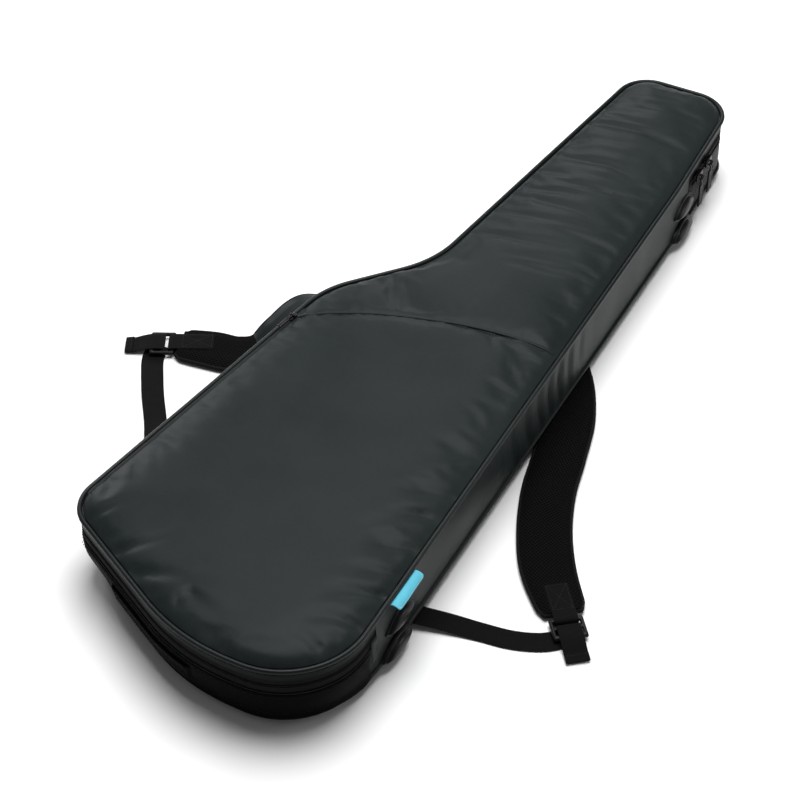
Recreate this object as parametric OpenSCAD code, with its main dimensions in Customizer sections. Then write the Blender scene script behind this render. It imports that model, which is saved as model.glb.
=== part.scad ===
// Padded gig bag for an electric guitar, lying on its back.
// X runs across the bag with the straight spine on +X, Y runs along it with the head end on +Y, and Z is up.
// The origin is the middle of the back face that the bag rests on.

/* [Outline] */
// Length over the two end walls
bag_l = 1050; // [1046:1:1054]
// Distance from the middle to the straight spine wall
spine_x = 165; // [164:1:167]
// How far the spine wall leans in at the head end
head_lean = 7; // [5:1:8]
// Corner radius of the two head corners
head_r = 38; // [34:1:42]

/* [Depth] */
// Height of the back piping seam
back_seam = 14; // [13:0.5:15]
// Height of the front piping seam
front_seam = 86; // [85:0.5:88]
// Height of the main zip, where the lid parts from the base
zip_z = 65; // [64:0.5:66]
// Height of the top of the front pocket
pocket_top = 101.4; // [101:0.2:103]

/* [Materials] */
// Thickness of the outer fabric
skin_t = 1.6; // [1.2:0.1:1.8]
// Thickness of the wall foam
foam_t = 10; // [8:0.5:11]
// Thickness of the lining
lining_t = 1; // [0.8:0.1:1.2]
// Half width of the piping ring
piping_r = 2.5; // [2:0.1:2.8]

/* [Straps] */
// Width of the padded shoulder strap
strap_w = 58; // [52:1:60]
// Thickness of the strap's fabric side
strap_cover_t = 3; // [2.5:0.1:3.2]
// Thickness of the strap's foam and mesh side
strap_mesh_t = 5; // [4:0.1:5.2]
// Width of the webbing
webbing_w = 25; // [22:1:27]
// Thickness of the webbing
webbing_t = 1.6; // [1.2:0.1:1.8]

/* [Zip] */
// Length of a main zip slider
slider_l = 18; // [16:1:20]
// Place along the spine of the slider nearer the body
slider_1_y = 403; // [401:1:405]
// Place along the spine of the slider nearer the head
slider_2_y = 434; // [433:1:440]
// Length of a slider's pull tab
pull_l = 40; // [34:1:42]

/* [Hidden] */

CLOTH = "#2e3433";
SEAM = "#1c2020";
BLACK = "#151617";
FOAM = "#3a3d40";
LINING = "#56595c";
GAP = 0.3;

/* Outline: the corners run clockwise from the spine's tail end, each with its rounding radius */
half_l = bag_l / 2;
lean_y = 335;
CORNERS = [
    [spine_x, -half_l, 88],
    [8, -half_l, 230],
    [-181, -419, 46],
    [-114, -6, 105],
    [-27, 94, 130],
    [32, half_l, head_r],
    [spine_x - head_lean, half_l, head_r + 6],
    [spine_x, lean_y, 1]];
ARC_STEP = 9;

function unit(v) = v / norm(v);
// Inward normal of an edge that runs clockwise
function inward(u) = [u[1], -u[0]];
// One corner of the outline moved inward by d
function moved(i, d) = let (
    n = len(CORNERS), p = CORNERS[i],
    a = CORNERS[(i + n - 1) % n], b = CORNERS[(i + 1) % n],
    n1 = inward(unit([p[0] - a[0], p[1] - a[1]])), n2 = inward(unit([b[0] - p[0], b[1] - p[1]])))
    [p[0], p[1]] + d * (n1 + n2) / (1 + n1 * n2);
// The arc that rounds corner i of the outline moved inward by d
function corner_arc(i, d) = let (
    n = len(CORNERS), p = moved(i, d), r0 = CORNERS[i][2],
    u = unit(p - moved((i + n - 1) % n, d)), v = unit(moved((i + 1) % n, d) - p),
    turn = u[0] * v[1] - u[1] * v[0], angle = acos(u * v),
    r = max(1, turn < 0 ? r0 - d : r0 + d),
    side = turn < 0 ? inward(u) : -inward(u),
    centre = p - u * r * tan(angle / 2) + side * r,
    steps = max(1, ceil(angle / ARC_STEP)))
    [for (k = [0 : steps]) let (t = angle * k / steps) centre - side * r * cos(t) + u * r * sin(t)];

// The bag's outline moved inward by d
module outline(d = 0) {
    polygon([for (i = [0 : len(CORNERS) - 1]) each corner_arc(i, d)]);
}

// A plate of the outline between two heights
module plate(d, z0, z1) {
    translate([0, 0, z0]) linear_extrude(z1 - z0) outline(d);
}

// A wall that follows the outline, from depth d0 to depth d1 inside it
module wall(d0, d1, z0, z1) {
    translate([0, 0, z0]) linear_extrude(z1 - z0) difference() { outline(d0); outline(d1); }
}

// The stretch of the spine wall that has no zip
spine_y0 = -416;
spine_y1 = 378;
module spine_zone(z0, z1, grow = 0) {
    translate([140, spine_y0 - grow, z0]) cube([60, spine_y1 - spine_y0 + 2 * grow, z1 - z0]);
}

// The body side of the pocket's seam, which bows across the front panel
module body_side(grow = 0) {
    translate([167, -572]) circle(580 + grow, $fn = 180);
}

/* Ribbons: a flat band that follows a smooth path, twisted about it by an angle at each point */
function mix(a, b, t) = a + (b - a) * t;
function smooth(p0, p1, p2, p3, t) = 0.5 * (2 * p1 + (p2 - p0) * t
    + (2 * p0 - 5 * p1 + 4 * p2 - p3) * t * t + (3 * p1 - p0 - 3 * p2 + p3) * t * t * t);
function path_point(path, s) = let (
    n = len(path) - 1, i = min(n - 1, floor(s)), t = s - i,
    before = i > 0 ? path[i - 1] : 2 * path[0] - path[1],
    after = i + 2 <= n ? path[i + 2] : 2 * path[n] - path[n - 1])
    smooth(before, path[i], path[i + 1], after, t);
// Four corners of the ribbon's section at s; each path point is [x, y, z, twist, width]
function section(path, s, low, high) = let (
    q = path_point(path, s), e = 0.02,
    a = path_point(path, max(0, s - e)), b = path_point(path, min(len(path) - 1, s + e)),
    along = unit([b[0] - a[0], b[1] - a[1], b[2] - a[2]]),
    flat = unit([along[1], -along[0], 0]), up = cross(flat, along),
    side = flat * cos(q[3]) + up * sin(q[3]), top = up * cos(q[3]) - flat * sin(q[3]),
    c = [q[0], q[1], q[2]], w = q[4] / 2)
    [c - side * w + top * low, c + side * w + top * low,
        c + side * w + top * high, c - side * w + top * high];

// A ribbon along path between s0 and s1 that fills low to high above the path
module ribbon(path, s0, s1, low, high, rings = 12) {
    points = [for (k = [0 : rings]) each section(path, mix(s0, s1, k / rings), low, high)];
    last = 4 * rings;
    // The top's quads split along the same diagonal as the bottom's, so stacked ribbons share their face
    sides = [for (k = [0 : rings - 1]) for (j = [0 : 3]) let (a = 4 * k + j, b = 4 * k + (j + 1) % 4)
        each j == 2 ? [[a, b, a + 4], [b, b + 4, a + 4]] : [[a, b, b + 4], [a, b + 4, a + 4]]];
    ends = [[3, 2, 1], [3, 1, 0], [last, last + 1, last + 2], [last, last + 2, last + 3]];
    polyhedron(points = points, faces = concat(sides, ends));
}

/* Strap routes, from the yoke on the back to the padded end; each point is [x, y, z, twist, width] */
pad_z = 1;
pad_t = strap_cover_t + strap_mesh_t;
RIGHT_PAD = [[40, 158, pad_z, 0, strap_w], [96, 124, pad_z, 0, strap_w], [146, 74, pad_z, 0, strap_w],
    [178, 14, pad_z, 0, strap_w], [195, -48, pad_z, 0, strap_w], [208, -104, pad_z, 0, strap_w],
    [228, -158, pad_z, 0, strap_w], [255, -208, pad_z, 0, strap_w], [294, -256, pad_z, 0, strap_w - 8]];
LEFT_PAD = [[2, 160, pad_z, 0, strap_w], [-48, 122, pad_z, 0, strap_w], [-88, 78, pad_z, 0, strap_w],
    [-120, 40, 14, 0, strap_w], [-141, 9, 31, 0, strap_w], [-156, -24, 21, 0, strap_w],
    [-172, -50, 4, 0, strap_w], [-197, -66, pad_z, 0, strap_w], [-227, -72, pad_z, 0, strap_w],
    [-260, -80, pad_z, 0, strap_w - 8]];
PAD_STEPS = 4;

// Webbing routes, from the ladder lock back to the seam at the tail corner
web_z = 0.6;
RIGHT_WEB = [[312, -278, web_z, 0, webbing_w], [292, -297, web_z, 0, webbing_w],
    [262, -309, web_z, 0, webbing_w], [228, -314, web_z, 0, webbing_w], [196, -320, 4, 0, webbing_w],
    [162, -328.5, 8, 0, webbing_w]];
LEFT_WEB = [[-284, -92, web_z, 0, webbing_w], [-277, -114, web_z, 0, webbing_w],
    [-263, -138, web_z, 0, webbing_w],
    [-245, -166, web_z, 0, webbing_w], [-221, -200, web_z, 0, webbing_w], [-197, -238, 5, 0, webbing_w],
    [-166, -284, 9.8, 0, webbing_w]];

// Where each strap folds: a point on the fold line and the way out from the bag
RIGHT_FOLD = [172, 0, 0];
LEFT_FOLD = [-196, -50, 177.9];
// Where each ladder lock starts, with the way its strap points there
RIGHT_LOCK = [299, -262, -52];
LEFT_LOCK = [-266, -83, 206];

// Everything on the outer side of a fold line
module beyond(fold, gap = 0) {
    translate([fold[0], fold[1], -20]) rotate(fold[2]) translate([gap, -500, 0]) cube([500, 1000, 200]);
}
module folded_part(fold) { intersection() { children(); beyond(fold, GAP); } }
module fixed_part(fold) { difference() { children(); beyond(fold, -GAP); } }

// The footprint of a strap's route, for the lane that it presses into the back panel
module lane(path, s1, depth) {
    steps = 12;
    edges = [for (k = [0 : steps]) section(path, s1 * k / steps, 0, 0)];
    left = [for (e = edges) [e[0][0], e[0][1]]];
    right = [for (k = [steps : -1 : 0]) [edges[k][1][0], edges[k][1][1]]];
    translate([0, 0, -1]) linear_extrude(depth + 1) offset(delta = 1) polygon(concat(left, right));
}

/* Base */
module back_panel() { color(CLOTH) difference() {
    union() { plate(16, 0, 5); plate(8, 5, 10); plate(piping_r, 10, back_seam + 2); }
    lane(RIGHT_PAD, 3.6, pad_t + 1.2);
    lane(LEFT_PAD, 2.2, pad_t + 1.2);
    translate([-11, 130, -1]) cube([86, 62, 1 + pad_z]);
} }
module base_piping() { color(SEAM) wall(-piping_r, piping_r, back_seam - 2, back_seam + 2); }
module base_gusset() { color(CLOTH) {
    wall(0, skin_t, back_seam + 2, zip_z - tape_w);
    intersection() { wall(0, skin_t, zip_z - tape_w, zip_z - GAP); spine_zone(0, 100); }
} }
floor_z = back_seam + 2 + foam_t;
ceiling_z = front_seam - 8;
foam_d = skin_t + foam_t;
lined_d = foam_d + lining_t;
module base_floor_foam() { color(FOAM) plate(skin_t, back_seam + 2, floor_z); }
module base_wall_foam() { color(FOAM) wall(skin_t + 1, foam_d, floor_z, zip_z - GAP); }
module base_lining() { color(LINING) {
    plate(lined_d, floor_z, floor_z + lining_t);
    wall(foam_d, lined_d, floor_z, zip_z - GAP);
} }
tape_w = 10;
teeth_out = 0.4;
// Half of the zip: a recessed tape with its row of teeth, all round except along the spine
module zip_half(z0, z1, teeth0, teeth1) { difference() {
    union() { wall(0.6, skin_t + 0.6, z0, z1); wall(-teeth_out, 0.6, teeth0, teeth1); }
    spine_zone(0, 100);
} }
module base_zip_tape() { color(BLACK) zip_half(zip_z - tape_w, zip_z - GAP, zip_z - 1.8, zip_z - GAP); }

// Places its child on the outside of the spine wall at y and z, flat against it, with local X along the wall
module on_spine(y, z, out = 0) {
    lean = y > lean_y ? atan(head_lean / (half_l - lean_y)) : 0;
    x = spine_x - (y > lean_y ? (y - lean_y) * tan(lean) : 0);
    translate([x, y, z]) rotate([0, 0, lean]) translate([out, 0, 0]) rotate([90, 0, 90]) children();
}
guard_t = 1;
module tail_end_zone() { translate([-300, -600, 0]) cube([600, 172, 100]); }
module bottom_guard() { color(BLACK) intersection() {
    wall(-guard_t, 0, back_seam + 4, zip_z - tape_w - 2); tail_end_zone(); } }
grip_x0 = -109;
grip_x1 = 18;
grip_t = 3.4;
module bottom_grip() { color(BLACK) intersection() {
    wall(-guard_t - grip_t, -guard_t, 24, 47);
    translate([grip_x0, -600, 0]) cube([grip_x1 - grip_x0, 200, 60]);
} }

// A leaf-shaped bumper foot with a domed face
foot_l = 60;
foot_w = 26;
foot_h = 8.5;
foot_rim = 2.5;
module leaf_foot() {
    arc_r = (foot_l * foot_l / 4 + foot_w * foot_w / 4) / foot_w;
    rise = foot_h - foot_rim;
    dome_r = (foot_l * foot_l / 4 + rise * rise) / (2 * rise);
    intersection() {
        lens(arc_r - foot_w / 2) cylinder(h = foot_h, r = arc_r, $fn = 96);
        translate([0, 0, foot_h - dome_r]) sphere(r = dome_r, $fn = 96);
    }
}
// The overlap of two copies of a child, moved apart by off along Y
module lens(off) { intersection() { translate([0, off, 0]) children(); translate([0, -off, 0]) children(); } }
foot_z_upper = 46;
foot_z_lower = 15;
module foot_head_upper() { color(BLACK) on_spine(362, foot_z_upper) leaf_foot(); }
module foot_head_lower() { color(BLACK) on_spine(359, foot_z_lower, piping_r + GAP) leaf_foot(); }
module foot_tail_upper() { color(BLACK) on_spine(-369, foot_z_upper) leaf_foot(); }
module foot_tail_lower() { color(BLACK) on_spine(-378, foot_z_lower, piping_r + GAP) leaf_foot(); }

// Fabric tabs folded over the ends of the zip
module zip_stop(y, l, z0) { color(CLOTH) on_spine(y, z0, teeth_out) cube([l, zip_z - z0 - GAP, 1]); }
module zip_stop_head() { zip_stop(382, 12, zip_z - tape_w); }
module zip_stop_tail() { zip_stop(-427, 11, back_seam + 18); }
module spine_hinge_tape() { color(LINING)
    translate([spine_x - lined_d - 1, spine_y0 + 20, zip_z - 16]) cube([1, 700, 16 - GAP]); }

// Foam blocks inside the base that hold the guitar
cradle_y = 215;
cradle_l = 60;
inner_z = floor_z + lining_t;
module inside_block(y0, y1, z1) { intersection() {
    plate(lined_d + 1.2, inner_z, z1); translate([-300, y0, 0]) cube([600, y1 - y0, 100]); } }
module neck_cradle() { color(FOAM) difference() {
    inside_block(cradle_y, cradle_y + cradle_l, inner_z + 25);
    translate([78, cradle_y - 1, inner_z + 38]) rotate([-90, 0, 0])
        cylinder(h = cradle_l + 2, r = 34, $fn = 72);
} }
module neck_strap() { color(BLACK)
    translate([30, cradle_y + 12, inner_z + 25]) cube([106, cradle_l - 24, 2]); }
module tail_block() { color(FOAM) difference() {
    inside_block(-520, -478, inner_z + 24);
    translate([40, -560, inner_z + 4]) cube([30, 100, 40]);
} }
module strap_yoke() { color(CLOTH) translate([-10, 131, 0.1]) cube([84, 60, pad_z - 0.2]); }

/* Lid */
neck_rise = 4;
pocket_floor = front_seam + 9;
// A padded front in steps: a low rim, the body level, and a crown on the neck
module front_form(shrink) {
    plate(piping_r + shrink, front_seam - 2, front_seam + 4 - shrink);
    plate(9 + shrink, front_seam + 4 - shrink, pocket_floor - shrink);
    translate([0, 0, pocket_floor - shrink]) linear_extrude(neck_rise) difference() {
        outline(20 + shrink); body_side(3 + shrink); }
}
module front_panel() { color(CLOTH) difference() { front_form(0); front_form(skin_t); } }
module lid_piping() { color(SEAM) wall(-piping_r, piping_r, front_seam - 2, front_seam + 2); }
module lid_gusset() { color(CLOTH) {
    wall(0, skin_t, zip_z + tape_w, front_seam - 2);
    intersection() { wall(0, skin_t, zip_z + GAP, zip_z + tape_w); spine_zone(0, 100); }
} }
module lid_foam() { color(FOAM) {
    front_form(skin_t);
    plate(piping_r + skin_t, ceiling_z, front_seam - 2);
    wall(skin_t + 1, foam_d, zip_z + GAP, ceiling_z);
} }
module lid_lining() { color(LINING) {
    plate(lined_d, ceiling_z - lining_t, ceiling_z);
    wall(foam_d, lined_d, zip_z + GAP, ceiling_z);
} }
module lid_zip_tape() { color(BLACK) zip_half(zip_z + GAP, zip_z + tape_w, zip_z + GAP, zip_z + 1.8); }

// Front pocket: a panel over the body half, sewn on three sides and open along its left edge
pocket_t = 1.2;
pocket_rim = 4;
pocket_d = 10;
module pocket_outline(inset) { intersection() { outline(pocket_d + inset); body_side(-inset); } }
// The pocket's left edge, where it opens
module pocket_left_zone() { polygon([[-250, -400], [-140, -400], [-80, -50], [-250, -50]]); }
module pocket_panel() { color(CLOTH) {
    translate([0, 0, pocket_top - pocket_t]) linear_extrude(pocket_t) pocket_outline(0);
    translate([0, 0, pocket_floor]) linear_extrude(pocket_top - pocket_t - pocket_floor) difference() {
        pocket_outline(0); pocket_outline(pocket_rim); pocket_left_zone(); }
} }
module pocket_zip() { color(BLACK) translate([0, 0, front_seam + 4]) {
    linear_extrude(1.2) difference() { intersection() { outline(3.5); pocket_left_zone(); } outline(8.5); }
    linear_extrude(2.4) difference() { intersection() { outline(5.3); pocket_left_zone(); } outline(6.7); }
} }
module label_tab() { color("#35b5cf") on_spine(-390, front_seam - 4.4, 0.4) cube([52, 2, 12]); }

// The pocket zip's slider, in a frame whose X runs up the pocket's left edge
POCKET_SLIDER = [-118.8, -70];
pocket_edge_turn = 80.43;
module on_pocket_edge(z) { translate([each POCKET_SLIDER, z]) rotate(pocket_edge_turn) children(); }
pocket_slider_z = front_seam + 6.7;
pocket_pin = 4.6;
module pocket_slider() { color(BLACK) on_pocket_edge(pocket_slider_z) {
    translate([-6, -3, 0]) cube([12, 6, 3]);
    for (y = [-3, 1.8]) translate([-1.6, y, 3]) cube([3.2, 1.2, 3]);
    translate([0, -3, pocket_pin]) rotate([-90, 0, 0]) cylinder(h = 6, r = 0.7, $fn = 32);
} }
module pocket_pull() { color(BLACK) on_pocket_edge(pocket_slider_z + pocket_pin) {
    difference() {
        rotate([90, 0, 0]) cylinder(h = 3, r = 1.5, center = true, $fn = 32);
        rotate([90, 0, 0]) cylinder(h = 5, r = 0.95, center = true, $fn = 32);
    }
    translate([-24, -1.5, -0.5]) cube([22.8, 3, 1]);
    translate([-24, -2.6, -0.5]) cube([16, 5.2, 1.2]);
} }

/* Main zip sliders; X along the wall, Y up, Z out */
slider_w = 10;
slider_low = 1.5;
pin_y = -1;
pin_z = 8.8;
pin_r = 1;
lug_x = 3.5;
module zip_slider() {
    translate([-slider_l / 2, -slider_w / 2, slider_low]) cube([slider_l, slider_w, 5]);
    for (x = [-lug_x - 1.2, lug_x]) translate([x, pin_y - 1.4, 6.5]) cube([1.2, 2.8, pin_z - 5.1]);
    translate([-lug_x, pin_y, pin_z]) rotate([0, 90, 0]) cylinder(h = 2 * lug_x, r = pin_r, $fn = 48);
}
module zip_pull() { translate([0, pin_y, pin_z]) {
    difference() {
        rotate([0, 90, 0]) cylinder(h = 6, r = 2.1, center = true, $fn = 48);
        rotate([0, 90, 0]) cylinder(h = 8, r = pin_r + 0.3, center = true, $fn = 48);
    }
    translate([-3, -9, -0.8]) cube([6, 7.3, 1.6]);
    translate([-7, -pull_l, -0.8]) cube([14, pull_l - 8, 1.6]);
} }
module slider_1() { color(BLACK) on_spine(slider_1_y, zip_z) zip_slider(); }
module slider_2() { color(BLACK) on_spine(slider_2_y, zip_z) zip_slider(); }
module pull_1() { color(BLACK) on_spine(slider_1_y, zip_z) zip_pull(); }
module pull_2() { color(BLACK) on_spine(slider_2_y, zip_z) zip_pull(); }

/* Shoulder straps */
module pad(path, low, high) { ribbon(path, 0, len(path) - 1, low, high, PAD_STEPS * (len(path) - 1)); }
module strap_root(path, fold) { color(CLOTH) fixed_part(fold) pad(path, 0, pad_t); }
module strap_cover(path, fold) { color(CLOTH) folded_part(fold) pad(path, 0, strap_cover_t); }
module strap_mesh(path, fold) { color(BLACK) folded_part(fold) pad(path, strap_cover_t, pad_t); }

// A ladder lock and what is on it, in a frame whose X is the way that the strap points
module at_lock(lock) { translate([lock[0], lock[1], 0]) rotate(lock[2]) children(); }
lock_l = 28;
lock_w = 36;
lock_z = 3.4;
lock_t = 5;
module ladder_lock(lock) { color(BLACK) at_lock(lock) difference() {
    translate([0, -lock_w / 2, lock_z]) cube([lock_l, lock_w, lock_t]);
    for (x = [5, 16]) translate([x, -lock_w / 2 + 4, lock_z - 1]) cube([6, lock_w - 8, lock_t + 2]);
} }
tab_t = 1.6;
tab_top = pad_z + pad_t + 0.1;
module lock_tab(lock) { color(BLACK) at_lock(lock) translate([0, -webbing_w / 2, 0]) {
    translate([-44, 0, tab_top]) cube([51.2, webbing_w, tab_t]);
    translate([5.6, 0, 1.6]) cube([tab_t, webbing_w, tab_top]);
    translate([-3, 0, 1.6]) cube([9, webbing_w, tab_t]);
} }
module webbing(path, fold) { color(BLACK) folded_part(fold) pad(path, 0, webbing_t); }
module anchor(path, fold) { color(BLACK) fixed_part(fold) pad(path, 0, webbing_t); }
TAIL = [[12, 0, 8.7, 0, webbing_w], [26, 0, 8.7, 0, webbing_w], [36, 0, 6.4, 0, webbing_w],
    [46, 0, 3, 0, webbing_w], [56, 0, 1.4, 0, webbing_w]];
module tail(lock) { color(BLACK) at_lock(lock) ribbon(TAIL, 0, 4, 0, webbing_t, 12); }

module strap_right_root() { strap_root(RIGHT_PAD, RIGHT_FOLD); }
module strap_right_cover() { strap_cover(RIGHT_PAD, RIGHT_FOLD); }
module strap_right_mesh() { strap_mesh(RIGHT_PAD, RIGHT_FOLD); }
module strap_right_tab() { lock_tab(RIGHT_LOCK); }
module buckle_right() { ladder_lock(RIGHT_LOCK); }
module webbing_right() { webbing(RIGHT_WEB, RIGHT_FOLD); }
module anchor_right() { anchor(RIGHT_WEB, RIGHT_FOLD); }
module tail_right() { tail(RIGHT_LOCK); }
module strap_left_root() { strap_root(LEFT_PAD, LEFT_FOLD); }
module strap_left_cover() { strap_cover(LEFT_PAD, LEFT_FOLD); }
module strap_left_mesh() { strap_mesh(LEFT_PAD, LEFT_FOLD); }
module strap_left_tab() { lock_tab(LEFT_LOCK); }
module buckle_left() { ladder_lock(LEFT_LOCK); }
module webbing_left() { webbing(LEFT_WEB, LEFT_FOLD); }
module anchor_left() { anchor(LEFT_WEB, LEFT_FOLD); }
module tail_left() { tail(LEFT_LOCK); }

back_panel();
base_piping();
base_gusset();
base_floor_foam();
base_wall_foam();
base_lining();
base_zip_tape();
bottom_guard();
bottom_grip();
foot_head_upper();
foot_head_lower();
foot_tail_upper();
foot_tail_lower();
zip_stop_head();
zip_stop_tail();
spine_hinge_tape();
neck_cradle();
neck_strap();
tail_block();
strap_yoke();
front_panel();
lid_piping();
lid_gusset();
lid_foam();
lid_lining();
lid_zip_tape();
pocket_panel();
pocket_zip();
label_tab();
pocket_slider();
pocket_pull();
slider_1();
slider_2();
pull_1();
pull_2();
strap_right_root();
strap_right_cover();
strap_right_mesh();
strap_right_tab();
buckle_right();
webbing_right();
tail_right();
anchor_right();
strap_left_root();
strap_left_cover();
strap_left_mesh();
strap_left_tab();
buckle_left();
webbing_left();
tail_left();
anchor_left();
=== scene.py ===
"""Looks of a padded gig bag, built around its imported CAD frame.

Shapes are worked out in mm and made in metres. s is a length along the bag's outline, clockwise from the spine's
tail end, and out is a distance outward from that outline. Cloth is simulated only where a sheet is draped.
"""

import math

import bmesh
import bpy
import numpy as np
from mathutils import Matrix, Vector, geometry


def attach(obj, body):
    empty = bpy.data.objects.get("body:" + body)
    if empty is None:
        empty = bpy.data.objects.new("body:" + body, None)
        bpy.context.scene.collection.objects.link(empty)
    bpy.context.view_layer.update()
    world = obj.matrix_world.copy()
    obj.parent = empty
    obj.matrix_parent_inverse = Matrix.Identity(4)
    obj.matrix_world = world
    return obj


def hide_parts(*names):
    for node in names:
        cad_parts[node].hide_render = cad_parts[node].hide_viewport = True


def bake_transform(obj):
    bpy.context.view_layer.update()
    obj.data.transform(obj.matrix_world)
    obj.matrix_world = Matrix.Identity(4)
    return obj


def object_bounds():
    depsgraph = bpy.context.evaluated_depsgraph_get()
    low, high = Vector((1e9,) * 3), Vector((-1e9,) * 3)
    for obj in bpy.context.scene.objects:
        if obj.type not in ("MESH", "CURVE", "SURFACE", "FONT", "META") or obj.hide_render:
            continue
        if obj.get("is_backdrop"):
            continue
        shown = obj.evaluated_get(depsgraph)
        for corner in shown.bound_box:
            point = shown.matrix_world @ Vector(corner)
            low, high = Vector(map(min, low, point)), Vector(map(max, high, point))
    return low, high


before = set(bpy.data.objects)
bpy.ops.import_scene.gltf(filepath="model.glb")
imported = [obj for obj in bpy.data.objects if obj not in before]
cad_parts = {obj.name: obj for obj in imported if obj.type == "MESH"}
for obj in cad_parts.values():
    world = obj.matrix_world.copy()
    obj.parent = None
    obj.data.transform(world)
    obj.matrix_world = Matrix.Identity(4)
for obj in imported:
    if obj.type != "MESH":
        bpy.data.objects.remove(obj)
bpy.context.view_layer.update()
MM = 0.001

# ---------------------------------------------------------------- numbers shared with the CAD, in mm
CORNERS = np.array([
    [165, -525, 88], [8, -525, 230], [-181, -419, 46], [-114, -6, 105],
    [-27, 94, 130], [32, 525, 38], [158, 525, 44], [165, 335, 1]], float)
SPINE_X, LEAN_Y, HEAD_LEAN, HALF_L = 165.0, 335.0, 7.0, 525.0
LEAN = math.atan(HEAD_LEAN / (HALF_L - LEAN_Y))
BACK_Z, FRONT_Z, ZIP_Z, TAPE_W = 14.0, 86.0, 65.0, 10.0
ZONE_LOW, ZONE_HIGH = -416.0, 378.0
SEAM_C, SEAM_R = np.array([167.0, -572.0]), 580.0
SKIN, LINED = 1.6, 12.6


# ---------------------------------------------------------------- outline
def unit(v):
    return v / np.linalg.norm(v)


def units(rows):
    return rows / np.linalg.norm(rows, axis=-1, keepdims=True)


def run_length(path):
    """Length along a path of each of its points."""
    return np.concatenate([[0], np.cumsum(np.linalg.norm(np.diff(path, axis=0), axis=1))])


def pairs(a, b):
    return np.stack([a, b], -1)


def inward(u):
    return np.array([u[1], -u[0]])


def outline():
    """Points and outward normals of the bag's outline, clockwise from the spine's tail end."""
    n = len(CORNERS)
    pts, nrm = [], []
    for i in range(n):
        p, a, b = CORNERS[i, :2], CORNERS[i - 1, :2], CORNERS[(i + 1) % n, :2]
        u, v = unit(p - a), unit(b - p)
        turn = u[0] * v[1] - u[1] * v[0]
        angle = math.acos(max(-1.0, min(1.0, float(u @ v))))
        r = CORNERS[i, 2]
        side = inward(u) if turn < 0 else -inward(u)
        centre = p - u * r * math.tan(angle / 2) + side * r
        steps = max(1, math.ceil(math.degrees(angle) / 3))
        for k in range(steps + 1):
            t = angle * k / steps
            radial = -side * math.cos(t) + u * math.sin(t)
            pts.append(centre + radial * r)
            nrm.append(radial if turn < 0 else -radial)
    return np.array(pts), np.array(nrm)


RIM_P, RIM_N = outline()
_loop_p, _loop_n = np.vstack([RIM_P, RIM_P[:1]]), np.vstack([RIM_N, RIM_N[:1]])
RIM_S = run_length(_loop_p)
TOTAL = RIM_S[-1]


def rim(s, out=0.0):
    """Points on the outline at the lengths s, moved outward by out, and their outward normals."""
    s = np.mod(np.asarray(s, float), TOTAL)
    p = np.stack([np.interp(s, RIM_S, _loop_p[:, k]) for k in (0, 1)], -1)
    n = units(np.stack([np.interp(s, RIM_S, _loop_n[:, k]) for k in (0, 1)], -1))
    return p + n * np.reshape(out, (-1, 1)), n


def spine_s(y):
    """Length along the outline of a place on the spine wall."""
    tail_end = CORNERS[0, 1] + CORNERS[0, 2]
    if y <= LEAN_Y:
        return TOTAL - (y - tail_end)
    return TOTAL - (LEAN_Y - tail_end) - (y - LEAN_Y) / math.cos(LEAN)


def crossing(test, s0, s1):
    """The first s between s0 and s1 where test of the rim's points turns true."""
    s = np.linspace(s0, s1, 2000)
    hit = np.nonzero(test(rim(s)[0]))[0]
    return float(s[hit[0]])


def spaced(s0, s1, step):
    return np.linspace(s0, s1, max(2, int(round(abs(s1 - s0) / step)) + 1))


def smooth01(t):
    t = np.clip(t, 0, 1)
    return t * t * (3 - 2 * t)


def window(x, a, b, soft):
    """1 between a and b, falling to 0 over soft on each side."""
    return smooth01((x - a) / soft + 1) * smooth01((b - x) / soft + 1)


# ---------------------------------------------------------------- meshes
def on(body, slot, *replaced):
    """Where a piece belongs: its body and the CAD nodes that it replaces, with a material slot name that nothing here
    uses.
    """
    return {"body": body, "slot": slot, "replaces": replaced}


def add(name, data):
    obj = bpy.data.objects.new(name, data)
    bpy.context.scene.collection.objects.link(obj)
    return obj


def place(obj, body=None, slot=None, replaces=()):
    if body:
        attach(obj, body)
    if replaces:
        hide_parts(*replaces)
    return obj


def make(name, verts, faces, material, body=None, slot=None, replaces=(), angle=38, flip_check=True, uvs=None):
    mesh = bpy.data.meshes.new(name)
    mesh.from_pydata((np.asarray(verts, float).reshape(-1, 3) * MM).tolist(), [], [tuple(f) for f in faces])
    if uvs is not None:
        layer = mesh.uv_layers.new(name="UVMap")
        flat = np.asarray(uvs, float).reshape(-1, 2)
        index = np.zeros(len(mesh.loops), np.int32)
        mesh.loops.foreach_get("vertex_index", index)
        layer.data.foreach_set("uv", flat[index].ravel())
    if flip_check:
        bm = bmesh.new()
        bm.from_mesh(mesh)
        bmesh.ops.remove_doubles(bm, verts=bm.verts, dist=1e-6)
        bmesh.ops.recalc_face_normals(bm, faces=bm.faces)
        bm.to_mesh(mesh)
        bm.free()
    mesh.shade_smooth()
    if angle:
        mesh.set_sharp_from_angle(angle=math.radians(angle))
    mesh.materials.append(material)
    return place(add(name, mesh), body, slot, replaces)


def lattice(rows, cols, wrap_rows=False, wrap_cols=False, start=0):
    i, j = np.meshgrid(np.arange(rows if wrap_rows else rows - 1), np.arange(cols if wrap_cols else cols - 1),
                       indexing="ij")
    i2, j2 = (i + 1) % rows, (j + 1) % cols
    quad = np.stack([i * cols + j, i * cols + j2, i2 * cols + j2, i2 * cols + j], -1) + start
    return quad.reshape(-1, 4).tolist()


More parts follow.
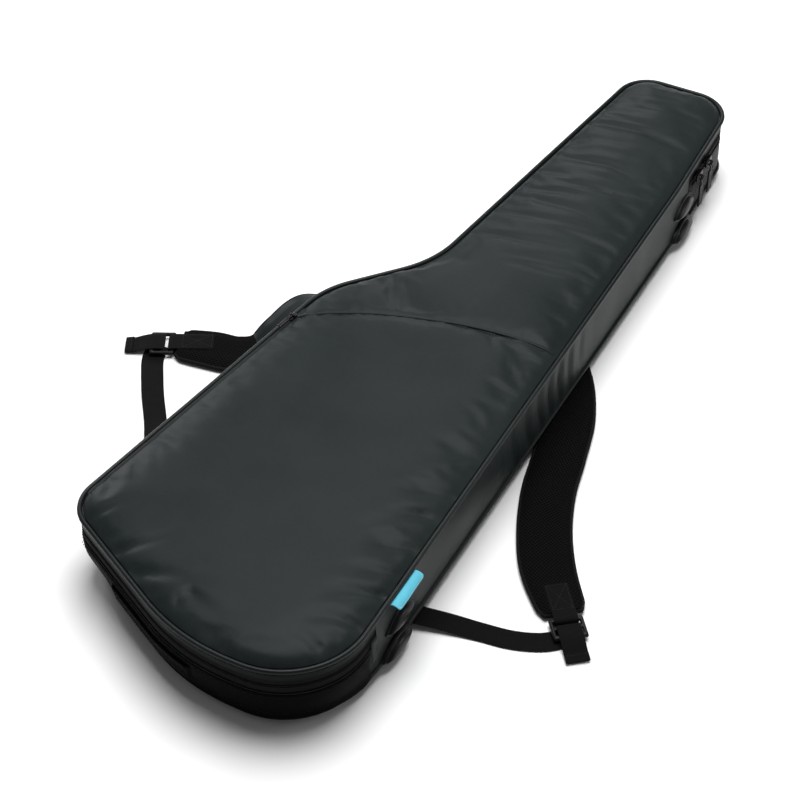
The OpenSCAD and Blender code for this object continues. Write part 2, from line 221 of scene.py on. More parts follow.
def tube(name, rings, material, wrap=False, uvs=None, **where):
    """A closed tube through rings of points, shaped (rings, points, 3)."""
    rings = np.asarray(rings, float)
    n, k = rings.shape[:2]
    faces = lattice(n, k, wrap, True)
    if not wrap:
        faces += [list(range(k))[::-1], [(n - 1) * k + j for j in range(k)]]
    return make(name, rings, faces, material, uvs=uvs, flip_check=uvs is None, **where)


def slab(name, top, bottom, material, **where):
    """A closed sheet between two grids of points, shaped (rows, cols, 3)."""
    n, m = top.shape[:2]
    size = n * m
    faces = lattice(n, m) + [f[::-1] for f in lattice(n, m, start=size)]
    edge = ([(0, j) for j in range(m)] + [(i, m - 1) for i in range(1, n)]
            + [(n - 1, j) for j in range(m - 2, -1, -1)] + [(i, 0) for i in range(n - 2, 0, -1)])
    index = [i * m + j for i, j in edge]
    for a, b in zip(index, index[1:] + index[:1]):
        faces.append([b, a, a + size, b + size])
    return make(name, np.concatenate([top.reshape(-1, 3), bottom.reshape(-1, 3)]), faces, material, **where)


def sweep(name, s, profile, material, wrap=False, **where):
    """A closed profile of (out, z) pairs, one for all or one for each s, carried along the outline."""
    profile = np.asarray(profile, float)
    profile = np.broadcast_to(profile, (len(s),) + profile.shape[-2:])
    p, n = rim(s)
    rings = np.empty(profile.shape[:2] + (3,))
    rings[..., :2] = p[:, None] + n[:, None] * profile[..., :1]
    rings[..., 2] = profile[..., 1]
    return tube(name, rings, material, wrap, **where)


def circle(cx, cy, rx, ry=None, count=12):
    t = np.linspace(0, 2 * math.pi, count, endpoint=False)
    return pairs(cx + rx * np.cos(t), cy + (ry or rx) * np.sin(t))


def grid(rows, cols, low=0.0):
    """Two grids of numbers from low to 1, down the rows and along the columns."""
    return np.meshgrid(np.linspace(low, 1, rows), np.linspace(low, 1, cols), indexing="ij")


def rectangle(x0, x1, y0, y1, z):
    """The corners of a closed rectangular line."""
    return np.array([[x0, y0, z], [x1, y0, z], [x1, y1, z], [x0, y1, z], [x0, y0, z]], float)


def round_rect(x0, x1, y0, y1, high, low=None, steps=4):
    """A rectangle with rounded corners: high is the radius of the upper two, low of the lower two."""
    low, pts = low or high, []
    for cx, cy, a0, r in ((x1 - high, y1 - high, 0, high), (x0 + high, y1 - high, 90, high),
                          (x0 + low, y0 + low, 180, low), (x1 - low, y0 + low, 270, low)):
        for k in range(steps + 1):
            a = math.radians(a0 + 90 * k / steps)
            pts.append((cx + r * math.cos(a), cy + r * math.sin(a)))
    return np.array(pts)


def settle(obj, *modifiers):
    """Adds modifiers given as (type, {setting: value}) and puts their result in the mesh."""
    for kind, settings in modifiers:
        m = obj.modifiers.new(kind.title(), kind)
        for key, value in settings.items():
            setattr(m, key, value)
    bpy.context.view_layer.update()
    done = bpy.data.meshes.new_from_object(obj.evaluated_get(bpy.context.evaluated_depsgraph_get()))
    obj.modifiers.clear()
    old, done.name = obj.data, obj.data.name
    obj.data = done
    bpy.data.meshes.remove(old)
    obj.data.shade_smooth()
    return obj


def matrix_of(place_m):
    m = np.array(place_m, float)
    return lambda pts: np.asarray(pts, float).reshape(-1, 3) @ m[:3, :3].T + m[:3, 3]


def on_spine(y, z, out=0.0):
    """Local X along the wall, Y up, Z out of the wall."""
    lean = LEAN if y > LEAN_Y else 0.0
    x = SPINE_X - max(0.0, y - LEAN_Y) * math.tan(lean)
    return (Matrix.Translation((x, y, z)) @ Matrix.Rotation(lean, 4, "Z") @ Matrix.Translation((out, 0, 0))
            @ Matrix.Rotation(math.pi / 2, 4, "Z") @ Matrix.Rotation(math.pi / 2, 4, "X"))


def out_of_spine(y):
    """The outward direction of the spine wall at y."""
    return np.array(on_spine(y, 0))[:3, 2]


def moved(bm, centre):
    """A bmesh's points, moved to centre, and its faces. The bmesh is freed."""
    bmesh.ops.translate(bm, verts=bm.verts, vec=centre)
    out = np.array([v.co[:] for v in bm.verts]), [[v.index for v in f.verts] for f in bm.faces]
    bm.free()
    return out


def block(size, centre, r=0.0, turn=None):
    """A box with rounded edges as (verts, faces)."""
    bm = bmesh.new()
    bmesh.ops.create_cube(bm, size=1.0)
    bmesh.ops.scale(bm, vec=size, verts=bm.verts)
    if r:
        bmesh.ops.bevel(bm, geom=list(bm.edges), offset=r, segments=3, profile=0.5, affect="EDGES")
    if turn:
        bmesh.ops.rotate(bm, verts=bm.verts, cent=(0, 0, 0), matrix=Matrix.Rotation(*turn).to_3x3())
    return moved(bm, centre)


def rod(r, length, centre, axis="X", segments=24):
    bm = bmesh.new()
    bmesh.ops.create_cone(bm, cap_ends=True, segments=segments, radius1=r, radius2=r, depth=length)
    if axis != "Z":
        bmesh.ops.rotate(bm, verts=bm.verts, cent=(0, 0, 0),
                         matrix=Matrix.Rotation(math.pi / 2, 3, "Y" if axis == "X" else "X"))
    return moved(bm, centre)


def joined(parts):
    verts, faces, start = [], [], 0
    for v, f in parts:
        verts.append(v)
        faces += [[i + start for i in face] for face in f]
        start += len(v)
    return np.concatenate(verts), faces


def mould(name, parts, place_m, material, voxel=0.5, soften=3, **where):
    """Parts fused and rounded as one moulded piece, placed by a matrix in mm."""
    v, f = joined(parts)
    obj = make(name, v, f, material)
    settle(obj, ("REMESH", {"mode": "VOXEL", "voxel_size": voxel * MM, "adaptivity": 0.0}),
           ("SMOOTH", {"factor": 0.5, "iterations": soften}))
    co = np.array([c.co[:] for c in obj.data.vertices]) / MM
    co = matrix_of(place_m)(co) * MM
    obj.data.vertices.foreach_set("co", co.ravel())
    obj.data.update()
    return place(obj, **where)


def stitches(name, path, up, material, pitch=3.4, length=2.3, width=0.55, sink=0.25, **where):
    """A row of short thread loops along a path, standing on the side that up points to."""
    path, up = np.asarray(path, float), np.broadcast_to(np.asarray(up, float), np.shape(path))
    run, parts = run_length(path), []

    def at(s, values):
        return np.array([np.interp(s, run, values[:, k]) for k in range(3)])

    for s in np.arange(pitch / 2, run[-1], pitch):
        mid, n = at(s, path), unit(at(s, up))
        t = unit(at(min(s + 0.5, run[-1]), path) - at(max(s - 0.5, 0), path))
        w = unit(np.cross(n, t)) * width / 2
        a, b, low, high = t * length / 2, t * length * 0.28, -n * sink, n * width * 0.7
        parts.append((np.array([
            mid - a + low, mid - b - w + low, mid + b - w + low, mid + a + low, mid + b + w + low, mid - b + w + low,
            mid - b + high, mid + b + high]),
            [[0, 5, 4, 3, 2, 1], [0, 1, 6], [1, 2, 7, 6], [2, 3, 7], [3, 4, 7], [4, 5, 6, 7], [5, 0, 6]]))
    v, f = joined(parts)
    return make(name, v, f, material, flip_check=False, angle=0, **where)


# ---------------------------------------------------------------- ribbons along a path
def catmull(path, s):
    path, s = np.asarray(path, float), np.asarray(s, float)
    n = len(path) - 1
    ext = np.vstack([2 * path[0] - path[1], path, 2 * path[n] - path[n - 1]])
    i = np.clip(np.floor(s).astype(int), 0, n - 1)
    t = (s - i)[:, None]
    p0, p1, p2, p3 = ext[i], ext[i + 1], ext[i + 2], ext[i + 3]
    return 0.5 * (2 * p1 + (p2 - p0) * t + (2 * p0 - 5 * p1 + 4 * p2 - p3) * t**2
                  + (3 * p1 - p0 - 3 * p2 + p3) * t**3)


def frames(path, s):
    """Centre, along, side and top directions of a flat band on the path."""
    last = len(path) - 1
    c = catmull(path, s)
    along = catmull(path, np.minimum(s + 0.02, last)) - catmull(path, np.maximum(s - 0.02, 0))
    along = units(along[:, :3])
    side = units(np.stack([along[:, 1], -along[:, 0], np.zeros(len(s))], -1))
    return c, along, side, np.cross(side, along)


def band(name, path, s, section, material, **where):
    """A closed section carried along a path. section(width, s) gives (across, high) pairs."""
    c, _, side, top = frames(path, s)
    rings, uvs, run = [], [], run_length(c[:, :3])
    for k in range(len(s)):
        sec = np.asarray(section(c[k, 3], s[k]), float)
        rings.append(c[k, :3] + side[k] * sec[:, :1] + top[k] * sec[:, 1:])
        uvs.append(np.stack([np.full(len(sec), run[k]), sec[:, 0]], -1))
    return tube(name, rings, material, uvs=np.array(uvs) * MM, **where)


# ---------------------------------------------------------------- materials
def tree(name, **finish):
    """A material, its node tree and its shader. finish sets shader inputs, with _ in place of a space."""
    m = bpy.data.materials.new(name)
    m.use_nodes = True
    shader = m.node_tree.nodes["Principled BSDF"]
    for key, value in finish.items():
        shader.inputs[key.replace("_", " ")].default_value = value
    return m, m.node_tree, shader


def node(nt, kind, links=(), **settings):
    made = nt.nodes.new(kind)
    for key, value in settings.items():
        if key in made.inputs.keys():
            made.inputs[key].default_value = value
        else:
            setattr(made, key, value)
    for socket, source in links:
        nt.links.new(source, made.inputs[socket])
    return made


def mapped(nt, scale=(1, 1, 1), turn=0.0, source="Object"):
    coords = node(nt, "ShaderNodeTexCoord").outputs[source]
    return node(nt, "ShaderNodeMapping", [("Vector", coords)], Scale=scale, Rotation=(0, 0, turn)).outputs[0]


def noise(nt, scale, detail, vector=None, **more):
    links = [("Vector", vector or mapped(nt))]
    return node(nt, "ShaderNodeTexNoise", links, Scale=scale, Detail=detail, **more).outputs["Fac"]


def ramp(nt, source, low, high, to_low, to_high):
    r = node(nt, "ShaderNodeMapRange", [("Value", source)])
    for socket, value in zip(("From Min", "From Max", "To Min", "To Max"), (low, high, to_low, to_high)):
        r.inputs[socket].default_value = value
    return r.outputs["Result"]


def math_node(nt, operation, a, b=None, value=None):
    m = node(nt, "ShaderNodeMath", [(0, a)], operation=operation)
    if b is not None:
        nt.links.new(b, m.inputs[1])
    elif value is not None:
        m.inputs[1].default_value = value
    return m.outputs[0]


def worn_edges(nt, low, high, amount):
    """Brightness that rises along convex edges."""
    return ramp(nt, node(nt, "ShaderNodeNewGeometry").outputs["Pointiness"], low, high, 0.0, amount)


def bump(nt, height, strength, distance, under=None):
    links = [("Height", height)] + ([("Normal", under)] if under else [])
    return node(nt, "ShaderNodeBump", links, Strength=strength, Distance=distance).outputs[0]


def dress(nt, shader, tone, dark, light, roughness, normal):
    """Mixes dark and light by tone, and joins colour, roughness and bump to the shader."""
    mix = node(nt, "ShaderNodeMix", data_type="RGBA")
    nt.links.new(tone, mix.inputs[0])
    mix.inputs[6].default_value, mix.inputs[7].default_value = (*dark, 1), (*light, 1)
    for source, socket in ((mix.outputs[2], "Base Color"), (roughness, "Roughness"), (normal, "Normal")):
        nt.links.new(source, shader.inputs[socket])


WAVE_TURN = 20.0  # radians that the wave texture runs through in one unit of its scale


def cloth(name, dark, light, rough=(0.42, 0.56), pitch=0.9, weave=0.00006, crumple=0.0005, sheen=0.05,
          specular=0.22, patches=9.0):
    """A woven cloth: two thread directions, slow colour patches, faint crumple and worn high edges."""
    m, nt, shader = tree(name, Sheen_Weight=sheen, Sheen_Roughness=0.45, Specular_IOR_Level=specular)
    flat = mapped(nt)
    slow = noise(nt, patches, 3.0, flat, Roughness=0.55)
    tone = math_node(nt, "ADD", ramp(nt, slow, 0.3, 0.7, 0.0, 0.75),
                     ramp(nt, noise(nt, 240.0, 2.0, flat), 0.3, 0.7, 0.0, 0.25))
    tone = math_node(nt, "ADD", tone, worn_edges(nt, 0.52, 0.6, 0.5))
    waves = [node(nt, "ShaderNodeTexWave", [("Vector", flat)], Scale=math.pi / (WAVE_TURN * pitch * MM),
                  Distortion=0.0, bands_direction=axis).outputs["Fac"] for axis in "XY"]
    threads = bump(nt, math_node(nt, "MAXIMUM", *waves), 0.35, weave)
    creased = noise(nt, 1.0, 4.0, mapped(nt, (26, 26, 26)), Roughness=0.5, Distortion=0.6)
    dress(nt, shader, tone, dark, light, ramp(nt, slow, 0.3, 0.7, *rough), bump(nt, creased, 0.5, crumple, threads))
    return m


def webbing_material(name, dark, light, rib=1.7, row=2.4):
    """Ribbed webbing: cross ribs rib mm apart and rows row mm apart, run along the strap."""
    m, nt, shader = tree(name, Sheen_Weight=0.01, Sheen_Roughness=0.5, Specular_IOR_Level=0.05)
    split = node(nt, "ShaderNodeSeparateXYZ", [("Vector", mapped(nt, source="UV"))])
    along = math_node(nt, "MULTIPLY", split.outputs[0], value=2 * math.pi / (rib * MM))
    across = math_node(nt, "MULTIPLY", split.outputs[1], value=2 * math.pi / (row * MM))
    ribs = math_node(nt, "SINE", math_node(nt, "ADD", along, math_node(nt, "MULTIPLY", across, value=0.5)))
    height = math_node(nt, "MULTIPLY_ADD", ribs, math_node(nt, "SINE", across))
    grain = noise(nt, 90.0, 3.0)
    # The tone follows the rib height: grooves darker and rib tops lighter as painted shade and light, with random
    # grain on top.
    tone = math_node(nt, "ADD", ramp(nt, height, -1, 1, 0.0, 0.7), ramp(nt, grain, 0.3, 0.7, 0.0, 0.3))
    dress(nt, shader, tone, dark, light, ramp(nt, grain, 0.3, 0.7, 0.62, 0.8), bump(nt, height, 0.6, 0.0003))
    return m


def mesh_material(name, dark, light, pitch=3.3):
    """Open spacer mesh: slanted rows of small holes in a knitted face; the holes' darkness is painted shade."""
    m, nt, shader = tree(name, Sheen_Weight=0.005, Specular_IOR_Level=0.03)
    uv = mapped(nt, (1000 / pitch, 1000 / pitch * 1.15, 1), math.radians(38), "UV")
    holes = node(nt, "ShaderNodeTexVoronoi", [("Vector", uv)], Scale=1.0, Randomness=0.06)
    lip = ramp(nt, holes.outputs["Distance"], 0.2, 0.48, 0.0, 1.0)
    knit = noise(nt, 160.0, 3.0)
    # The holes are darkened as painted shade in the openings; the knit noise is random tone.
    tone = math_node(nt, "MULTIPLY", lip, ramp(nt, knit, 0.25, 0.75, 0.55, 1.0))
    dress(nt, shader, tone, dark, light, ramp(nt, knit, 0.3, 0.7, 0.7, 0.9), bump(nt, lip, 0.9, 0.0009))
    return m


def hard(name, dark, light, rough=(0.3, 0.45), grain=900.0, grain_high=0.00003, coat=0.0, specular=0.5):
    """Moulded or cast hardware: fine grain, worn edges, a little handling dirt."""
    m, nt, shader = tree(name, Coat_Weight=coat, Coat_Roughness=0.12, Specular_IOR_Level=specular)
    flat = mapped(nt)
    slow = noise(nt, 60.0, 4.0, flat)
    tone = math_node(nt, "ADD", ramp(nt, slow, 0.35, 0.7, 0.0, 0.5), worn_edges(nt, 0.54, 0.64, 0.9))
    dress(nt, shader, tone, dark, light, ramp(nt, slow, 0.35, 0.7, *rough),
          bump(nt, noise(nt, grain, 2.0, flat), 0.4, grain_high))
    return m


M_SHELL = cloth("shell_nylon", (0.0098, 0.0132, 0.0132), (0.0148, 0.0192, 0.0190), rough=(0.36, 0.45), sheen=0.01,
                specular=0.07)
# The gusset nylon is the shell nylon darkened to about half: painted shade on the zipped walls below the piping.
M_SHADED_GUSSET = cloth("gusset_nylon_painted_shade", (0.0045, 0.006, 0.006), (0.0075, 0.0098, 0.0097), rough=(0.4, 0.5), sheen=0.005,
                 specular=0.05)
M_PIPE = cloth("piping_nylon", (0.005, 0.007, 0.007), (0.009, 0.012, 0.012), rough=(0.32, 0.4), crumple=0.0001,
               sheen=0.01, specular=0.14)
M_GUARD = cloth("guard_coated", (0.0012, 0.0013, 0.0013), (0.003, 0.0032, 0.0032), rough=(0.45, 0.6), pitch=1.3,
                weave=0.00012, crumple=0.0002, sheen=0.0, specular=0.02)
M_LINING = cloth("lining_tricot", (0.075, 0.08, 0.085), (0.13, 0.135, 0.14), rough=(0.8, 0.95), pitch=1.1,
                 sheen=0.5, specular=0.2, crumple=0.0003)
M_FOAM = cloth("foam_cover", (0.03, 0.032, 0.034), (0.055, 0.057, 0.06), rough=(0.8, 0.95), sheen=0.3, specular=0.2)
M_TAPE = cloth("zip_tape", (0.004, 0.004, 0.004), (0.009, 0.009, 0.009), rough=(0.6, 0.75), pitch=0.8,
               crumple=0.00003, sheen=0.01, specular=0.04)
M_ZIP_CLOTH = cloth("zip_coated", (0.006, 0.008, 0.008), (0.010, 0.013, 0.013), rough=(0.4, 0.5), pitch=0.8,
                    crumple=0.00003, sheen=0.01, specular=0.08)
M_WEB = webbing_material("webbing_black", (0.001, 0.001, 0.0011), (0.0055, 0.0056, 0.0058))
M_MESH = mesh_material("air_mesh_black", (0.0004, 0.0004, 0.0004), (0.006, 0.0062, 0.0062))
M_THREAD = cloth("thread_dark", (0.006, 0.0075, 0.0075), (0.014, 0.017, 0.017), rough=(0.5, 0.7), crumple=0.00002)
M_BLACK_THREAD = cloth("thread_black", (0.003, 0.003, 0.003), (0.01, 0.01, 0.01), rough=(0.5, 0.7), crumple=0.00002)
M_COIL = hard("zip_coil", (0.003, 0.003, 0.003), (0.008, 0.008, 0.008), rough=(0.35, 0.5), specular=0.15)
M_METAL = hard("slider_paint", (0.002, 0.002, 0.0022), (0.008, 0.008, 0.0085), rough=(0.25, 0.38), coat=0.05,
               specular=0.25)
M_RUBBER = hard("pull_rubber", (0.002, 0.002, 0.0022), (0.006, 0.006, 0.0065), rough=(0.42, 0.55), grain_high=0.00006,
                specular=0.15)
M_FOOT = hard("foot_gloss", (0.003, 0.0033, 0.0033), (0.008, 0.0085, 0.0085), rough=(0.3, 0.42), coat=0.04,
              specular=0.2, grain=500.0, grain_high=0.00005)
M_BUCKLE = hard("buckle_acetal", (0.002, 0.002, 0.0022), (0.006, 0.006, 0.0065), rough=(0.35, 0.5), specular=0.15)
M_LABEL = cloth("label_woven", (0.075, 0.41, 0.54), (0.10, 0.48, 0.62), rough=(0.5, 0.62), pitch=0.7,
                crumple=0.00005, sheen=0.3, patches=60.0)
M_LABEL_EDGE = cloth("label_border", (0.45, 0.68, 0.74), (0.6, 0.8, 0.85), rough=(0.5, 0.62), crumple=0.00002)

# ---------------------------------------------------------------- surface heights
rng = np.random.default_rng(7)


def ring_distance(xy, ring):
    """Distance of points from a closed ring."""
    best = np.full(len(xy), 1e9)
    for a, b in zip(ring, np.roll(ring, -1, axis=0)):
        ab = b - a
        t = np.clip(((xy - a) @ ab) / max(1e-9, ab @ ab), 0, 1)
        best = np.minimum(best, np.linalg.norm(xy - a - t[:, None] * ab, axis=1))
    return best


def edge_distance(xy):
    return ring_distance(xy, RIM_P)


def creases(xy, strokes, fading=False):
    """Sum of creases, each (x, y, angle, half length, half width, depth): a valley with two soft shoulders.
    A fading one is deepest at its start and opens out as it runs."""
    z = np.zeros(len(xy))
    for x, y, angle, length, width, depth in strokes:
        c, s = math.cos(angle), math.sin(angle)
        dx, dy = xy[:, 0] - x, xy[:, 1] - y
        u, v = (dx * c + dy * s) / length, (dy * c - dx * s) / width
        v = v + 0.35 * np.sin(1.9 * u + x)
        along = np.exp(-u**4)
        if fading:
            t = np.clip((u + 1) / 2, 0, 1)
            v = v / (0.7 + 0.8 * t)
            along = 1.35 * smooth01(t / 0.12) * (1 - t) ** 1.3 * (u > -1)
        z -= depth * along * (1 - v**2 * 0.9) * np.exp(-v**2)
    return z


def rim_stroke(s, reach, width, depth, turn=0.0, start=4.0):
    """A pucker that starts at the outline at s and runs inward."""
    p, n = rim([s])
    d = -n[0]
    c, sn = math.cos(turn), math.sin(turn)
    d = np.array([d[0] * c - d[1] * sn, d[0] * sn + d[1] * c])
    mid = p[0] + d * (start + reach)
    return (mid[0], mid[1], math.atan2(d[1], d[0]), reach, width, depth)


NECK_Y, NECK_FOLDS, NECK_STEP, RIM_STEP = 118, 17, 23.5, 17.0
neck_strokes = []
for k in range(NECK_FOLDS):
    y = NECK_Y + k * NECK_STEP + rng.uniform(-7, 7)
    left = np.interp(y, [94, 525], [-22, 32])
    neck_strokes.append((left + (SPINE_X - left) * rng.uniform(0.3, 0.62), y, math.radians(rng.uniform(-3, 13)),
                         rng.uniform(28, 58), rng.uniform(4.5, 9), rng.uniform(0.9, 1.9)))
puckers = []
for s in np.arange(6, TOTAL, RIM_STEP):
    puckers.append(rim_stroke(s + rng.uniform(-6, 6), rng.uniform(7, 15), rng.uniform(3, 4.6),
                              rng.uniform(0.2, 0.6), rng.uniform(-0.3, 0.3)))
S_LEFT_CORNER = crossing(lambda p: (p[:, 0] < -160) & (p[:, 1] > -432), 200, 900)
# Long soft folds over the tail: x, y, direction in degrees, half length, half width, depth
for x, y, turn, reach, width, depth in (
        (-86, -441, 37, 46, 8, 4.4), (-36, -462, 14, 56, 9, 3.0), (20, -482, -10, 34, 10, 2.2),
        (-138, -414, 58, 30, 6, 2.8), (-128, -448, 20, 26, 6, 2.6), (-148, -372, 12, 34, 9, 1.8),
        (122, -300, 221, 48, 9, 2.8), (136, -332, 209, 34, 7, 2.8), (138, -400, 215, 38, 8, 4.0),
        (136, -368, 206, 32, 7, 2.2), (134, -442, 190, 34, 8, 3.4), (116, -474, 160, 28, 8, 2.4),
        (132, -250, 216, 38, 8, 1.8), (130, -190, 212, 36, 8, 1.5), (-150, -300, 5, 30, 9, 1.4)):
    puckers.append((x, y, math.radians(turn), reach, width, depth))
S_SEAM_LEFT = crossing(lambda p: np.linalg.norm(p - SEAM_C, axis=1) > SEAM_R, S_LEFT_CORNER, TOTAL - 900)
for off, reach, depth in ((-34, 26, 1.0), (-10, 34, 1.3), (18, 30, 1.2), (44, 26, 0.9)):
    puckers.append(rim_stroke(S_SEAM_LEFT + off, reach, 5.5, depth, rng.uniform(-0.2, 0.2)))


def slow_waves(xy, seed, low, high, count=14):
    """Gentle unevenness with wavelengths from low to high."""
    r = np.random.default_rng(seed)
    z = np.zeros(len(xy))
    for _ in range(count):
        k, a = 2 * math.pi / r.uniform(low, high), r.uniform(0, math.pi)
        z += np.sin(k * (xy[:, 0] * math.cos(a) + xy[:, 1] * math.sin(a)) + r.uniform(0, 6.3)) / math.sqrt(count)
    return z


FRONT_LOW, FRONT_RISES = 86.6, ((4.8, 5.0), (6.4, 22.0), (3.8, 70.0))


def front_height(xy):
    """The padded front: a quick rise beside the piping, a slow crown, creases and puckers."""
    d = edge_distance(xy)
    rise = np.clip(d - 2.5, 0, None)
    z = np.full(len(xy), FRONT_LOW)
    for high, reach in FRONT_RISES:
        z = z + high * (1 - np.exp(-rise / reach))
    inside = smooth01((d - 3) / 12)
    z += 0.35 * slow_waves(xy, 3, 70, 190) * inside
    z += creases(xy, neck_strokes) * smooth01((d - 6) / 16)
    z += creases(xy, puckers, True) * smooth01((d - 3) / 5)
    return z


def seam_gap(xy):
    """Distance outside the pocket's bowed seam, negative on the pocket's side."""
    return np.linalg.norm(xy - SEAM_C, axis=1) - SEAM_R


def inside_ring(xy, ring):
    x, y = xy[:, 0], xy[:, 1]
    odd = np.zeros(len(xy), bool)
    for (x0, y0), (x1, y1) in zip(ring, np.roll(ring, -1, axis=0)):
        cross = (y0 > y) != (y1 > y)
        at = x0 + (y - y0) * (x1 - x0) / (y1 - y0 if abs(y1 - y0) > 1e-12 else 1e-12)
        odd ^= cross & (x < at)
    return odd


def resample(ring, step):
    loop = np.vstack([ring, ring[:1]])
    run = run_length(loop)
    s = np.linspace(0, run[-1], int(run[-1] / step) + 1)[:-1]
    return np.stack([np.interp(s, run, loop[:, k]) for k in (0, 1)], -1)


def patch(ring, step):
    """Triangles that fill a closed ring: (n, 2) points and faces that look up."""
    ring = resample(ring, step)
    low, high = ring.min(0), ring.max(0)
    rows = np.arange(low[1], high[1], step * 0.87)
    inner = np.array([(x + (step / 2 if k % 2 else 0), y) for k, y in enumerate(rows)
                      for x in np.arange(low[0], high[0], step)])
    inner = inner[inside_ring(inner, ring)]
    inner = inner[ring_distance(inner, ring) > step * 0.6]
    m = len(ring)
    res = geometry.delaunay_2d_cdt([Vector(p) for p in np.vstack([ring, inner])],
                                   [(k, (k + 1) % m) for k in range(m)], [], 1, 1e-5)
    xy, faces = np.array([v[:] for v in res[0]]), [list(f) for f in res[2]]
    a, b, c = xy[faces[0]]
    if (b[0] - a[0]) * (c[1] - a[1]) - (b[1] - a[1]) * (c[0] - a[0]) < 0:
        faces = [f[::-1] for f in faces]
    return xy, faces


def shell(name, ring, step, height, thick, material, looks_down=False, simulate=None, **where):
    """A sheet over a closed ring with a given height at each point, thickened away from its face."""
    xy, faces = patch(ring, step)
    if looks_down:
        faces = [f[::-1] for f in faces]
    obj = make(name, np.column_stack([xy, height(xy)]), faces, material, flip_check=False, angle=0)
    if simulate:
        simulate(obj)
    settle(obj, ("SOLIDIFY", {"thickness": thick * MM, "offset": -1.0}))
    obj.data.set_sharp_from_angle(angle=math.radians(50))
    return place(obj, **where)


CLOTH_FRAMES, CAP_ASIDE = 20, 1.5


def drape(obj, pinned, cap_up, cap_down, slack, pressure):
    """Lets a sewn sheet buckle under foam pressure, with its edge held, and keeps the buckles within caps."""
    rest = np.array([v.co[:] for v in obj.data.vertices])
    group = obj.vertex_groups.new(name="sewn")
    for k, held in enumerate(pinned(rest / MM)):
        if held > 0:
            group.add([k], float(held), "REPLACE")
    m = obj.modifiers.new("Cloth", "CLOTH")
    st = m.settings
    st.quality, st.mass, st.air_damping = 6, 0.25, 6.0
    st.tension_stiffness = st.compression_stiffness = 22.0
    st.shear_stiffness, st.bending_stiffness = 8.0, 0.35
    st.use_pressure, st.uniform_pressure_force = True, pressure
    st.shrink_min = -slack
    st.vertex_group_mass = "sewn"
    st.pin_stiffness = 5.0
    st.effector_weights.gravity = 0.0
    m.collision_settings.use_collision = False
    scene = bpy.context.scene
    for f in range(1, CLOTH_FRAMES + 1):
        scene.frame_set(f)
    done = obj.evaluated_get(bpy.context.evaluated_depsgraph_get()).data
    now = np.array([v.co[:] for v in done.vertices])
    obj.modifiers.clear()
    obj.vertex_groups.clear()
    scene.frame_set(1)
    move = now - rest
    for k, low, high in ((0, CAP_ASIDE, CAP_ASIDE), (1, CAP_ASIDE, CAP_ASIDE), (2, cap_down, cap_up)):
        cap = np.where(move[:, k] > 0, high, low) * MM
        move[:, k] = cap * np.tanh(move[:, k] / cap)
    obj.data.vertices.foreach_set("co", (rest + move).ravel())
    obj.data.update()


# ---------------------------------------------------------------- front and pocket
RING_IN = 3.0
ZIP_LOW_Y, ZIP_HIGH_Y = -392.0, -56.0
front_ring = rim(spaced(0, TOTAL, 3)[:-1], -RING_IN)[0]


def shell_height(xy):
    g = seam_gap(xy)
    h = front_height(xy)
    under = smooth01(-g / 6)
    d = edge_distance(xy)
    left = window(xy[:, 1], ZIP_LOW_Y, ZIP_HIGH_Y, 20) * (xy[:, 0] < -90)
    tight = smooth01((d - RING_IN - 7.5 * left) / 4)
    return h - 1.3 * np.exp(-np.abs(g) / 7) * tight - 3.6 * under * tight


def hold_front(xyz):
    xy = xyz[:, :2]
    return np.maximum(1 - smooth01((edge_distance(xy) - RING_IN) / 3), smooth01((6 - seam_gap(xy)) / 6))


shell("front_shell", front_ring, 5.5, shell_height, 1.5, M_SHELL,
      simulate=lambda o: drape(o, hold_front, 2.5, 1.6, 0.012, 3.0),
      **on("lid", "shell_fabric", "front_panel"))

# The pocket's panel follows the piping round the tail, its zip up the left edge, and the bowed seam
S_SEAM_RIGHT = crossing(lambda p: np.linalg.norm(p - SEAM_C, axis=1) < SEAM_R, spine_s(60), spine_s(-60))
S_ZIP_A = crossing(lambda p: (p[:, 0] < -100) & (p[:, 1] > ZIP_LOW_Y), S_LEFT_CORNER - 60, S_SEAM_LEFT)
S_ZIP_B = crossing(lambda p: p[:, 1] > ZIP_HIGH_Y, S_ZIP_A, S_SEAM_LEFT + 200)
pocket_s = spaced(S_SEAM_RIGHT - TOTAL, S_SEAM_LEFT, 3)
pocket_in = 3.2 + 6.6 * window(pocket_s, S_ZIP_A + 6, S_ZIP_B - 6, 16)
pocket_edge = rim(pocket_s, -pocket_in)[0]


def seam_arc(out, step=4.0, trim=0.0):
    """Points along the bowed seam from the left edge to the right one."""
    a0 = math.atan2(*(pocket_edge[-1] - SEAM_C)[::-1])
    a1 = math.atan2(*(pocket_edge[0] - SEAM_C)[::-1])
    n = int(abs(a0 - a1) * SEAM_R / step) + 1
    a = np.linspace(a0 - trim / SEAM_R, a1 + trim / SEAM_R, n)
    return SEAM_C + (SEAM_R + out) * np.stack([np.cos(a), np.sin(a)], -1)


pocket_ring = np.vstack([pocket_edge, seam_arc(0)[1:-1]])


def pocket_height(xy):
    lip = np.exp(-np.clip(-seam_gap(xy), 0, None) / 3.0)
    return front_height(xy) + 0.5 + 0.5 * lip * smooth01((edge_distance(xy) - 3) / 6)


def hold_pocket(xyz):
    xy = xyz[:, :2]
    return 1 - smooth01((ring_distance(xy, pocket_ring[::2]) - 1.0) / 4)


pocket = shell("pocket_cover", pocket_ring, 5.5, pocket_height, 1.2, M_SHELL,
               simulate=lambda o: drape(o, hold_pocket, 2.2, 1.6, 0.010, 3.0),
               **on("lid", "shell_fabric", "pocket_panel"))


def on_front(xy, lift=0.0):
    return np.column_stack([xy, front_height(xy) + lift])


